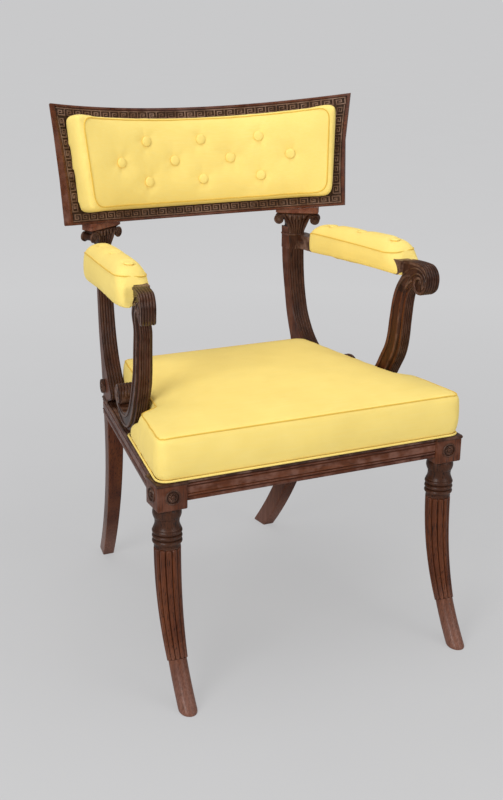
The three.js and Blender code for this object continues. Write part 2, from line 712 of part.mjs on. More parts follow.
const padShare = (y) => (y - ARM_PAD_FRONT) / (ARM_PAD_BACK - ARM_PAD_FRONT);

/** Bottom and seam of the pad, which dip towards the stile. */
const padBase = (y) => padBottom - ARM_PAD_SAG * Math.min(padShare(y), 1) ** 2;
const padSeam = (y) => padBottom + ARM_PAD_SIDE - ARM_PAD_SEAM_SAG * padShare(y) ** 2;
const padX = (y) => half(LEG_SPACING) - blend(ARM_PAD_FRONT_INSET, ARM_PAD_BACK_INSET, padShare(y));
const armRailFront = ARM_PAD_FRONT;
const armRailBack = STILE_TOP_REAR - half(STILE_DEPTH);
const armRailX = (y) => blend(frameX(armRailFront), padX(armRailBack) - ARM_RAIL_SHIFT,
  (y - armRailFront) / (armRailBack - armRailFront));

const ARM_RAIL_SHARES = [0, 0.25, 0.45, 0.65, 0.8, 0.9, 1];

/** Bar under the pad, cut to the stile in the back and to the arm support in front. */
function armRailSolid() {
  const ring = (y) => [[-1, 0], [1, 0], [1, 1], [-1, 1]].map(([across, up]) => new THREE.Vector3(
    armRailX(y) + half(ARM_RAIL_WIDTH) * across,
    y,
    padBase(y) + FIT + (ARM_RAIL_HEIGHT - FIT) * up,
  ));
  const stations = ARM_RAIL_SHARES.map((share) => blend(armRailFront, armRailBack, share));
  return solidOf(loft(stations.map(ring)))
    .subtract(stileLoft(FIT))
    .subtract(armSupportSolid(FIT));
}

const PAD_OUTLINE_SHARES = [
  [-0.96, 0], [-1, 0.12], [-1.03, 0.5], [-1, 0.92], [-0.93, 1], [-0.78, 1.3], [-0.5, 1.7], [-0.2, 1.95],
  [0.2, 1.95], [0.5, 1.7], [0.78, 1.3], [0.93, 1], [1, 0.92], [1.03, 0.5], [1, 0.12], [0.96, 0],
];
const PAD_END_NARROWING = 0.12;
const PAD_HANG_REACH_SHARE = 0.3;
const PAD_CROWN_FALL = 0.5;
const PAD_FRONT_DROP = 0.1;
const PAD_BACK_DROP = 0.2;
const PAD_FRONT_REACH_SHARE = 0.05;
const PAD_BACK_REACH_SHARE = 0.12;
const PAD_STATION_SHARES = [0, 0.015, 0.05, 0.12, 0.2, 0.3, 0.42, 0.54, 0.66, 0.76, 0.85, 0.92, 0.97, 1];

/** Pull of the cover near a pad's end, from 0 inside its reach to 1 at the end. */
const endPull = (away, reach) => Math.max(1 - away / reach, 0) ** 2;

/** Height on the arm pad: the boxed side up to the seam at 1, the crown above it. */
function padZ(y, across, up) {
  const share = padShare(y);
  const hang = across > 0 ? ARM_PAD_HANG * Math.min(share / PAD_HANG_REACH_SHARE, 1) : 0;
  const crown = ARM_PAD_CROWN * (1 - PAD_CROWN_FALL * share ** 3);
  return blend(padBase(y) - hang, padSeam(y), Math.min(up, 1)) + Math.max(up - 1, 0) * crown;
}

/** Ring of the arm pad: boxed sides and crown outside, a channel for the rail inside. */
function armPadRing(share) {
  const y = blend(ARM_PAD_FRONT, ARM_PAD_BACK, share);
  const narrow = PAD_END_NARROWING * endPull(Math.min(share, 1 - share), PAD_FRONT_REACH_SHARE);
  const drop = PAD_BACK_DROP * endPull(1 - share, PAD_BACK_REACH_SHARE)
    + PAD_FRONT_DROP * endPull(share, PAD_FRONT_REACH_SHARE);
  const outline = PAD_OUTLINE_SHARES.map(([across, up]) => new THREE.Vector3(
    padX(y) + half(ARM_PAD_WIDTH) * across * (1 - narrow),
    y,
    blend(padZ(y, across, up), padBase(y), drop),
  ));
  const channel = half(ARM_WIDTH) + FIT;
  const inner = [[1, 0], [1, 1], [-1, 1], [-1, 0]].map(([across, up]) => new THREE.Vector3(
    armRailX(y) + channel * across,
    y,
    padBase(y) + (ARM_RAIL_HEIGHT + FIT * 2) * up,
  ));
  return [...outline, ...inner];
}

const ARM_BUTTON_SHARES = [0.18, 0.53, 0.85];
const armButtonY = (share) => blend(ARM_PAD_FRONT, ARM_PAD_BACK, share);
const PAD_TOP_UP = Math.max(...PAD_OUTLINE_SHARES.map(([, up]) => up));
const armButtonSeat = (y) => padZ(y, 0, PAD_TOP_UP) - ARM_PAD_TUFT;

/** Pocket that seats a button, open outwards. */
function pocket(place, direction, depth) {
  const radius = BUTTON_RADIUS + FIT;
  const outline = [[radius, 0], [radius * POCKET_FLARE, depth]];
  return solidOf(aimed(turned(outline, SMALL_FACETS), place, direction));
}

function armPadSolid() {
  return ARM_BUTTON_SHARES.reduce((pad, share) => {
    const y = armButtonY(share);
    const place = new THREE.Vector3(padX(y), y, armButtonSeat(y) - FIT);
    return pad.subtract(pocket(place, new THREE.Vector3(0, 0, 1), BUTTON_HEIGHT + ARM_PAD_TUFT));
  }, solidOf(loft(PAD_STATION_SHARES.map(armPadRing))));
}

// Back pad

const BACK_BUTTONS = [
  [-1, 1], [0, 1], [1, 1], [-1.5, 0], [-0.5, 0], [0.5, 0], [1.5, 0], [-1, -1], [0, -1], [1, -1],
];
const backPadMiddle = half(CREST_HEIGHT);
const backButtonPlace = ([column, row]) => (
  [column * BACK_BUTTON_PITCH, backPadMiddle + row * BACK_BUTTON_ROW]
);
const backPadHalf = (w) => crestHalfWidth(w) - BACK_PAD_MARGIN;
const BACK_PAD_STEPS = 26;
const BACK_PAD_ROWS = 9;
const BACK_PAD_END_SHARES = [1, 0.985];
const BACK_PAD_LAST_SHARE = 0.96;
const BACK_PAD_ROUND_SHARE = 0.97;
const BACK_PAD_ROUNDING = 0.2;
const BACK_PAD_SIDE_SHARES = [0.3, 0.75];
const BACK_PAD_TUCK = 2;
const CROWN_POWER = 4;

/** Depth of the back pad's front at x and w: crowned between its seams, drawn in at each button. */
function backPadDepth(x, w, share, rowShare) {
  const crown = BACK_PAD_CROWN * (1 - share ** CROWN_POWER) * (1 - (2 * rowShare - 1) ** CROWN_POWER);
  const drawn = BACK_BUTTONS.map(backButtonPlace).reduce((sum, [bx, bw]) => {
    const away = (x - bx) ** 2 + (w - bw) ** 2;
    return sum + BACK_TUFT * Math.exp(-away / (2 * TUFT_SPREAD ** 2));
  }, 0);
  return BACK_PAD_SIDE + crown - drawn;
}

/** Ring of the back pad across its height at a share of its half width. */
function backPadRing(share) {
  const low = BACK_PAD_MARGIN;
  const high = crestTop(share) - BACK_PAD_MARGIN;
  const rounding = 1 - BACK_PAD_ROUNDING * endPull(1 - Math.abs(share), 1 - BACK_PAD_ROUND_SHARE);
  const [lowSide, highSide] = BACK_PAD_SIDE_SHARES.map((up) => BACK_PAD_SIDE * up);
  const seat = -CREST_RECESS + FIT;
  const tuck = BACK_PAD_TUCK;
  const points = [];
  const push = (w, d) => points.push(onCrest(share * backPadHalf(w), w, d));
  push(low + tuck, seat);
  push(low, lowSide);
  push(low, highSide * rounding);
  for (let row = 0; row <= BACK_PAD_ROWS; row += 1) {
    const rowShare = row / BACK_PAD_ROWS;
    const w = blend(low + tuck * 2, high - tuck * 2, rowShare);
    const x = share * backPadHalf(w);
    push(w, backPadDepth(x, w, share, rowShare) * rounding);
  }
  push(high, highSide * rounding);
  push(high, lowSide);
  push(high - tuck, seat);
  return points;
}

const backButtonSeat = BACK_PAD_SIDE + BACK_PAD_CROWN - BACK_TUFT;

function backPadSolid() {
  const inner = Array.from({ length: BACK_PAD_STEPS + 1 }, (_, step) => (
    blend(-BACK_PAD_LAST_SHARE, BACK_PAD_LAST_SHARE, step / BACK_PAD_STEPS)
  ));
  const ends = BACK_PAD_END_SHARES;
  const shares = [...ends.map((share) => -share), ...inner, ...ends.toReversed()];
  return BACK_BUTTONS.map(backButtonPlace).reduce((pad, [x, w]) => {
    const place = onCrest(x, w, backButtonSeat - FIT);
    return pad.subtract(pocket(place, crestNormal(x), BUTTON_HEIGHT * 2));
  }, solidOf(loft(shares.map(backPadRing))));
}

// Buttons, rosettes and screws

const BUTTON_SHARES = [[1, 0], [1, 0.4], [0.8, 0.8], [0.35, 1]];
const buttonOutline = BUTTON_SHARES.map(([r, h]) => [r * BUTTON_RADIUS, h * BUTTON_HEIGHT]);
const buttonShape = () => turned(buttonOutline, SMALL_FACETS);
const ROSETTE_SHARES = [
  [1, 0], [1, 0.45], [0.84, 0.5], [0.78, 0.85], [0.62, 0.85], [0.52, 0.45], [0.3, 0.5], [0.2, 1],
];
const rosetteShape = (height) => turned(
  ROSETTE_SHARES.map(([r, h]) => [r * ROSETTE_RADIUS, h * height]),
  ROLL_FACETS,
);

/** Countersunk screw that points along +Z from the face of its head. */
function screwShape(grow) {
  const shank = SCREW_RADIUS + grow;
  const head = SCREW_HEAD_RADIUS + grow;
  const tip = SCREW_LENGTH + grow;
  return turned([
    [head, grow ? -SCREW_SINK : 0], [head, grow], [shank, SCREW_HEAD_HEIGHT],
    [shank, tip - SCREW_POINT], [SCREW_TIP_RADIUS, tip],
  ], SCREW_FACETS);
}

// Slip seat

const seatBarTop = RAIL_TOP;
const seatBarBottom = RAIL_TOP - SEAT_BAR_HEIGHT;
const seatFront = frontRailInner + FIT;
const seatBack = rearRailInner - FIT;
const seatSide = (y) => railInnerX(y) - FIT;
const seatFrontSide = blockInnerX - FIT;
const cornerTop = seatBarBottom - FIT;
const cornerBottom = cornerTop - CORNER_BLOCK_HEIGHT;

/** Upright prism over a plan outline. */
function prism(plan, low, high) {
  return loft([low, high].map((z) => plan.map(([x, y]) => new THREE.Vector3(x, y, z))));
}

const seatBars = {
  seat_frame_front: prism([
    [-seatFrontSide, seatFront], [seatFrontSide, seatFront],
    [seatFrontSide, seatFront + SEAT_BAR_WIDTH], [-seatFrontSide, seatFront + SEAT_BAR_WIDTH],
  ], seatBarBottom, seatBarTop),
  seat_frame_rear: prism([
    [-seatSide(seatBack - SEAT_BAR_WIDTH), seatBack - SEAT_BAR_WIDTH],
    [seatSide(seatBack - SEAT_BAR_WIDTH), seatBack - SEAT_BAR_WIDTH],
    [seatSide(seatBack), seatBack], [-seatSide(seatBack), seatBack],
  ], seatBarBottom, seatBarTop),
  seat_frame_right: prism((() => {
    const from = seatFront + SEAT_BAR_WIDTH;
    const to = seatBack - SEAT_BAR_WIDTH;
    return [
      [seatSide(from) - SEAT_BAR_WIDTH, from], [seatSide(from), from],
      [seatSide(to), to], [seatSide(to) - SEAT_BAR_WIDTH, to],
    ];
  })(), seatBarBottom, seatBarTop),
};

/** Webbing straps that cross over the slip frame, woven into one net. */
function webbingSolid() {
  const low = seatBarTop;
  const high = seatBarTop + WEB_THICK;
  const from = seatFront + WEB_LAP;
  const to = seatBack - WEB_LAP;
  const straps = [];
  for (let i = 0; i < WEBS_ALONG; i += 1) {
    const share = (i + 0.5) / WEBS_ALONG * 2 - 1;
    const x = (seatSide(to) - WEB_LAP) * share;
    straps.push(boxBetween(
      new THREE.Vector3(x - half(WEB_WIDTH), from, low),
      new THREE.Vector3(x + half(WEB_WIDTH), to, high),
    ));
  }
  for (let i = 0; i < WEBS_ACROSS; i += 1) {
    const y = blend(from + SEAT_BAR_WIDTH, to - SEAT_BAR_WIDTH, i / (WEBS_ACROSS - 1));
    const reach = seatSide(y + WEB_WIDTH) - WEB_LAP;
    straps.push(boxBetween(
      new THREE.Vector3(-reach, y - half(WEB_WIDTH), low),
      new THREE.Vector3(reach, y + half(WEB_WIDTH), high),
    ));
  }
  return straps.reduce((net, strap) => net.add(strap));
}

// Seat cushion

const cushionBottom = RAIL_TOP + WEB_THICK + FIT;
const cushionPivotY = CUSHION_NOTCH - half(SIDE_RAIL_WIDTH);
const cushionWide = (y) => frameX(y) + CUSHION_OVERHANG;
const cushionNarrow = (y) => frameX(y) - half(SIDE_RAIL_WIDTH) - TOE_SLOPE * ROLL_RADIUS - FIT;
const CUSHION_EDGE_SHARES = [0.12, 0.5, 0.88];
const CUSHION_REAR_SHARES = [0.1, 0.35, 0.6, 0.85, 0.96];
const CUSHION_SPAN_SHARES = [0.35, 0.7];
const CORNER_CUT_SHARE = 0.3;
const CUSHION_CROWN_POWER = 2.6;

/** Plan outline of the cushion: rounded corners, stepped in at the notch behind the arm supports. */
function cushionOutline(notch) {
  const front = -CUSHION_FRONT;
  const corner = CUSHION_CORNER;
  const cut = corner * CORNER_CUT_SHARE;
  const right = [
    [0, front], ...CUSHION_SPAN_SHARES.map((share) => [cushionWide(front) * share, front]),
    [cushionWide(front) - corner, front], [cushionWide(front) - cut, front + cut],
    [cushionWide(front + corner), front + corner],
    ...CUSHION_EDGE_SHARES.map((share) => {
      const y = blend(front + corner, notch - corner, share);
      return [cushionWide(y), y];
    }),
    [cushionWide(notch), notch - cut], [cushionWide(notch) - cut, notch],
    [cushionNarrow(notch), notch + CUT_OVER],
    ...CUSHION_REAR_SHARES.map((share) => {
      const y = blend(notch, CUSHION_BACK, share);
      return [cushionNarrow(y), y];
    }),
    [cushionNarrow(CUSHION_BACK) - corner, CUSHION_BACK],
    ...CUSHION_SPAN_SHARES.toReversed().map((share) => [cushionNarrow(CUSHION_BACK) * share, CUSHION_BACK]),
  ];
  const left = right.slice(1).reverse().map(([x, y]) => [-x, y]);
  return [...right, [0, CUSHION_BACK], ...left];
}

const CUSHION_SIDE_SHARES = [[0, -1], [0.08, 0], [0.5, 0.45], [0.92, 0], [1, -0.9]];
const CUSHION_TOP_SHARES = [0.96, 0.88, 0.74, 0.55, 0.3, 0.1];

/** Height of the cushion's top above its seam. */
function cushionCrown(x, y) {
  const acrossShare = x / cushionWide(y);
  const alongShare = (2 * (y + CUSHION_FRONT)) / (CUSHION_BACK + CUSHION_FRONT) - 1;
  const [across, along] = [acrossShare, alongShare].map((share) => (
    1 - Math.min(Math.abs(share), 1) ** CUSHION_CROWN_POWER
  ));
  return CUSHION_CROWN * Math.sqrt(across * along);
}

function cushionGeometry() {
  const outline = cushionOutline(CUSHION_NOTCH);
  const scaled = ([x, y], share) => [x * share, cushionPivotY + (y - cushionPivotY) * share];
  const sides = CUSHION_SIDE_SHARES.map(([up, out]) => cushionOutline(
    blend(CUSHION_NOTCH_FOOT, CUSHION_NOTCH, up),
  ).map((corner) => {
    const reach = Math.hypot(corner[0], corner[1] - cushionPivotY);
    const [x, y] = scaled(corner, 1 + (Math.min(out, 0) * CUSHION_BULGE) / reach);
    return new THREE.Vector3(x, y, cushionBottom + up * CUSHION_SIDE);
  }));
  const seam = cushionBottom + CUSHION_SIDE;
  const tops = CUSHION_TOP_SHARES.map((share) => outline.map((corner) => {
    const [x, y] = scaled(corner, share);
    return new THREE.Vector3(x, y, seam + cushionCrown(x, y));
  }));
  return loft([...sides, ...tops]);
}

// Corner blocks and screws

/** Plans of the right corner blocks, with the places and directions of their screws. */
const cornerPlans = {
  front: [
    [blockInnerX - CORNER_BLOCK_LEG, frontRailInner + FIT], [blockInnerX - FIT, frontRailInner + FIT],
    [blockInnerX - FIT, blockBackY + FIT], [railInnerX(blockBackY) - FIT, blockBackY + FIT],
    [railInnerX(blockBackY + CORNER_BLOCK_LEG) - FIT, blockBackY + CORNER_BLOCK_LEG],
  ],
  rear: [
    [railInnerX(rearRailInner) - CORNER_BLOCK_LEG, rearRailInner - FIT],
    [railInnerX(rearRailInner - CORNER_BLOCK_LEG) - FIT, rearRailInner - CORNER_BLOCK_LEG],
    [railInnerX(rearRailInner) - FIT, rearRailInner - FIT],
  ],
};
const screwZ = half(cornerTop + cornerBottom);
const screwReach = SCREW_LENGTH - SCREW_GRIP;
const screwPlace = (x, y) => new THREE.Vector3(x, y, screwZ);
const toRightRail = new THREE.Vector3(1, TOE_SLOPE, 0).normalize();
const SCREW_SHARES = { frontAcross: 0.3, frontAlong: 0.55, rearAcross: 0.4, rearAlong: 0.5 };
const frontScrewX = blockInnerX - CORNER_BLOCK_LEG * SCREW_SHARES.frontAcross;
const frontScrewY = blockBackY + CORNER_BLOCK_LEG * SCREW_SHARES.frontAlong;
const rearScrewX = railInnerX(rearRailInner) - CORNER_BLOCK_LEG * SCREW_SHARES.rearAcross;
const rearScrewY = rearRailInner - CORNER_BLOCK_LEG * SCREW_SHARES.rearAlong;
const rightScrews = {
  front_right_a: [screwPlace(frontScrewX, frontRailInner + screwReach), new THREE.Vector3(0, -1, 0)],
  front_right_b: [screwPlace(railInnerX(frontScrewY) - screwReach, frontScrewY), toRightRail],
  rear_right_a: [screwPlace(rearScrewX, rearRailInner - screwReach), new THREE.Vector3(0, 1, 0)],
  rear_right_b: [screwPlace(railInnerX(rearScrewY) - screwReach, rearScrewY), toRightRail],
};
const rightScrewCuts = Object.values(rightScrews)
  .map(([place, direction]) => solidOf(aimed(screwShape(FIT), place, direction)))
  .reduce((all, cut) => all.add(cut));
const screwCuts = rightScrewCuts.add(rightScrewCuts.mirror([1, 0, 0]));

// Assembly

const chair = new THREE.Group();

function add(name, geometry, material, x = 0, y = 0) {
  const mesh = new THREE.Mesh(geometry, material);
  mesh.name = name;
  mesh.position.set(x, y, 0);
  chair.add(mesh);
}

function addPair(name, geometry, material, x = 0, y = 0) {
  add(`${name}_right`, geometry, material, x, y);
  add(`${name}_left`, mirrored(geometry), material, -x, y);
}

const legX = half(LEG_SPACING);
const legMortises = frontTenon(FIT).add(sideTenon(FIT)).translate([-legX, 0, 0]);
addPair('front_leg', geometryOf(frontLegSolid().subtract(legMortises)), MAHOGANY, legX);
addPair('rear_leg', geometryOf(rightRearLegSolid()), MAHOGANY);
addPair('side_rail', geometryOf(rightSideRailSolid().subtract(screwCuts)), MAHOGANY);
add('front_rail', geometryOf(frontRailSolid().subtract(screwCuts)), MAHOGANY);
add('rear_rail', geometryOf(rearRailSolid().subtract(screwCuts)), MAHOGANY);

const stileFoot = postTenon(stileTenonY, RAIL_TOP, 0);
const armFoot = postTenon(armTenonY, RAIL_TOP, 0);
addPair('stile', geometryOf(stileLoft(0).subtract(armSupportSolid(FIT)).add(stileFoot)), DARK_MAHOGANY);
addPair('arm_support', geometryOf(armSupportSolid(0).add(armFoot)), DARK_MAHOGANY);
addPair('capital', geometryOf(capitalSolid()), DARK_MAHOGANY);
add('crest_tablet', crestGeometry(), MAHOGANY);
addPair('arm_rail', geometryOf(armRailSolid()), BEECH);

Object.entries(cornerPlans).forEach(([end, plan]) => {
  const block = solidOf(prism(plan, cornerBottom, cornerTop)).subtract(screwCuts);
  addPair(`corner_block_${end}`, geometryOf(block), BEECH);
});
Object.entries(rightScrews).forEach(([name, [place, direction]]) => {
  const screw = aimed(screwShape(0), place, direction);
  add(`screw_${name}`, screw, STEEL);
  add(`screw_${name.replace('right', 'left')}`, mirrored(screw), STEEL);
});

add('seat_frame_front', seatBars.seat_frame_front, BEECH);
add('seat_frame_rear', seatBars.seat_frame_rear, BEECH);
add('seat_frame_right', seatBars.seat_frame_right, BEECH);
add('seat_frame_left', mirrored(seatBars.seat_frame_right), BEECH);
add('seat_webbing', geometryOf(webbingSolid()), JUTE);
add('seat_cushion', cushionGeometry(), SILK);

const blockFace = rosetteShape(ROSETTE_HEIGHT);
const rosetteZ = RAIL_TOP - half(BLOCK_HEIGHT);
const blockFront = new THREE.Vector3(legX, -half(BLOCK_SIDE), rosetteZ);
const blockOuter = new THREE.Vector3(legX + half(BLOCK_SIDE), 0, rosetteZ);
addPair('rosette_front', aimed(blockFace, blockFront, new THREE.Vector3(0, -1, 0)), DARK_MAHOGANY);
addPair('rosette_side', aimed(blockFace, blockOuter, new THREE.Vector3(1, 0, 0)), DARK_MAHOGANY);
const stileFaceY = SIDE_RAIL_END - STILE_ROSETTE_INSET;
const stileFace = new THREE.Vector3(
  frameX(stileFaceY) + half(STILE_WIDTH) + FIT,
  stileFaceY,
  RAIL_TOP + STILE_ROSETTE_RISE,
);
addPair('rosette_stile', aimed(rosetteShape(SIDE_ROSETTE_HEIGHT), stileFace, toRightRail), DARK_MAHOGANY);

addPair('arm_pad', geometryOf(armPadSolid()), SILK);
ARM_BUTTON_SHARES.forEach((share, i) => {
  const y = armButtonY(share);
  const place = new THREE.Vector3(padX(y), y, armButtonSeat(y));
  addPair(`arm_button_${i + 1}`, aimed(buttonShape(), place, new THREE.Vector3(0, 0, 1)), SILK);
});

add('back_pad', geometryOf(backPadSolid()), SILK);
BACK_BUTTONS.map(backButtonPlace).forEach(([x, w], i) => {
  const name = `back_button_${String(i + 1).padStart(2, '0')}`;
  add(name, aimed(buttonShape(), onCrest(x, w, backButtonSeat), crestNormal(x)), SILK);
});

// The origin is on the floor under the middle of the chair's outline
const outline = new THREE.Box3().setFromObject(chair);
chair.position.y = -half(outline.min.y + outline.max.y);
chair.updateMatrixWorld(true);

export default chair;
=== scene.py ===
"""Klismos armchair in carved mahogany, with buttoned pads covered in yellow silk and cotton."""
import logging
import math
from dataclasses import dataclass, field
from enum import Enum
from typing import Callable, Sequence

import bmesh
import bpy
from bpy.types import Material, Mesh, NodeSocket, NodeTree, Object
from mathutils import Matrix, Vector
from mathutils.bvhtree import BVHTree


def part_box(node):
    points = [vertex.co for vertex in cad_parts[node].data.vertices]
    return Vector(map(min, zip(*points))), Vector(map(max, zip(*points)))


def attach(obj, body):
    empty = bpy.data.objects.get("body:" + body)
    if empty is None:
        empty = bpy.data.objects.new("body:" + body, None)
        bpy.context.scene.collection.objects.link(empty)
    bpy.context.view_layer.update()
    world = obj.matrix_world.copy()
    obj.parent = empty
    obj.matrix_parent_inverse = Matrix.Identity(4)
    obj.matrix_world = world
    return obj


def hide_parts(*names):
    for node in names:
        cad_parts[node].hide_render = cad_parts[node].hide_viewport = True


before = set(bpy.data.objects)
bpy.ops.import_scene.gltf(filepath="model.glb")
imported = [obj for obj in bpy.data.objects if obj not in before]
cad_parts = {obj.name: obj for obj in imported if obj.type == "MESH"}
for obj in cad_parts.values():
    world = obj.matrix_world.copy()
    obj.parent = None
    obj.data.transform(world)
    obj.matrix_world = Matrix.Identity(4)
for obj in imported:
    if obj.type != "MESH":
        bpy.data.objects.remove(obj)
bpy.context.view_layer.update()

MM = 0.001
BLOCK_HALF = 25.0
CORD_SIDES = 8
# Y of the line of the front legs' axes, in millimetres of the row frame
LEG_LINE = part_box("rosette_front_right")[1].y / MM + BLOCK_HALF

Point = tuple[float, ...]
Section = list[Point]
log = logging.getLogger("chair")


# Numbers and curves


def blend(start: float, end: float, share: float) -> float:
    """Value between start and end at a share from 0 to 1."""
    return start + (end - start) * share


def ease(share: float) -> float:
    """Share from 0 to 1 with a soft start and end."""
    held = min(max(share, 0.0), 1.0)
    return held * held * (3 - 2 * held)


def pull(away: float, reach: float) -> float:
    """1 at the end of a piece, falling to 0 at a reach from it."""
    return max(1 - away / reach, 0.0) ** 2


def curve(points: Sequence[Point], steps: int) -> list[Point]:
    """Smooth curve through points.

    Args:
        points: corners that the curve runs through, all of one length.
        steps: stations from each corner to the next.

    Returns:
        The stations, the first and last corner among them.
    """
    stations = []
    last = len(points) - 1
    for i in range(last):
        near = [points[max(i - 1, 0)], points[i], points[i + 1], points[min(i + 2, last)]]
        for step in range(steps):
            t = step / steps
            stations.append(tuple(
                (2 * b + (c - a) * t + (2 * a - 5 * b + 4 * c - d) * t**2 + (3 * b - a - 3 * c + d) * t**3) / 2
                for a, b, c, d in zip(*near)
            ))
    return stations + [tuple(points[-1])]


def arched(outline: Sequence[Point], steps: int) -> Section:
    """Section with round mouldings.

    Args:
        outline: places with the bulge of the line from each to the next, to its left.
        steps: points in each round line.

    Returns:
        The section's points.
    """
    section = []
    for (x, y, bulge), (x2, y2, _) in zip(outline, outline[1:]):
        section.append((x, y))
        if not bulge:
            continue
        along = Vector((x2 - x, y2 - y))
        side = Vector((-along.y, along.x)).normalized()
        for step in range(1, steps):
            share = step / steps
            out = side * bulge * math.sin(math.pi * share)
            section.append((x + along.x * share + out.x, y + along.y * share + out.y))
    return section + [outline[-1][:2]]


def reeds(width: float, count: int, depth: float, steps: int = 8) -> Section:
    """Half-round reeds side by side.

    Args:
        width: size of the reeded face.
        count: number of reeds.
        depth: how deep the valleys are.
        steps: points across each reed.

    Returns:
        Pairs of the place across the face and the depth there.
    """
    pitch = width / count
    section = []
    for reed in range(count):
        for step in range(steps):
            u = -math.cos(math.pi * step / steps)
            section.append((-width / 2 + pitch * (reed + (u + 1) / 2), depth * (1 - math.sqrt(1 - u * u))))
    return section + [(width / 2, depth)]


def rounded(corners: Sequence[Point], radii: Sequence[float], steps: int) -> list[Point]:
    """Closed plan outline whose corners are rounded, each by its own radius."""
    outline = []
    count = len(corners)
    for i, (corner, radius) in enumerate(zip(corners, radii)):
        here = Vector(corner)
        before, after = Vector(corners[i - 1]) - here, Vector(corners[(i + 1) % count]) - here
        start, end = here + before.normalized() * radius, here + after.normalized() * radius
        for step in range(steps + 1):
            t = step / steps
            outline.append(tuple(start * (1 - t) ** 2 + here * 2 * t * (1 - t) + end * t * t))
    return outline


def resampled(outline: Sequence[Point], pitch: float) -> list[Point]:
    """Closed outline with a point about every pitch on its straight runs."""
    points = []
    for (x, y), (to_x, to_y) in zip(outline, [*outline[1:], outline[0]]):
        steps = max(round(math.hypot(to_x - x, to_y - y) / pitch), 1)
        points += [(blend(x, to_x, step / steps), blend(y, to_y, step / steps)) for step in range(steps)]
    return points


# Finishes


def linear(code: int) -> tuple[float, float, float, float]:
    """Linear colour of an sRGB hex value."""
    parts = [(code >> shift & 255) / 255 for shift in (16, 8, 0)]
    return (*[p / 12.92 if p <= 0.04045 else ((p + 0.055) / 1.055) ** 2.4 for p in parts], 1.0)


def add(
    tree: NodeTree, kind: str, inputs: dict | None = None, **settings: object,
) -> "bpy.types.NodeOutputs":
    """Adds a node to a material.

    Args:
        tree: the material's node tree.
        kind: the node's type without its ShaderNode prefix.
        inputs: socket name or number to a value or to the socket that feeds it.
        settings: the node's own settings; ramp holds the stops of a colour ramp.

    Returns:
        The node's outputs.
    """
    node = tree.nodes.new("ShaderNode" + kind)
    for key, value in settings.items():
        if key == "ramp":
            while len(node.color_ramp.elements) < len(value):
                node.color_ramp.elements.new(1.0)
            for stop, (place, colour) in zip(node.color_ramp.elements, value):
                stop.position, stop.color = place, colour
        else:
            setattr(node, key, value)
    for key, value in (inputs or {}).items():
        if isinstance(value, NodeSocket):
            tree.links.new(value, node.inputs[key])
        else:
            node.inputs[key].default_value = value
    return node.outputs


def new_material(name: str) -> tuple[Material, NodeTree]:
    """Empty material and its node tree."""
    material = bpy.data.materials.new(name)
    material.use_nodes = True
    material.node_tree.nodes.clear()
    return material, material.node_tree


WHITE, BLACK = (1.0, 1.0, 1.0, 1.0), (0.0, 0.0, 0.0, 1.0)


class Grain(Enum):
    """Axis that the fibres of a wooden piece run along."""

    ACROSS = (0.05, 1.0, 1.0)
    DEEP = (1.0, 0.05, 1.0)
    UPRIGHT = (1.0, 1.0, 0.05)


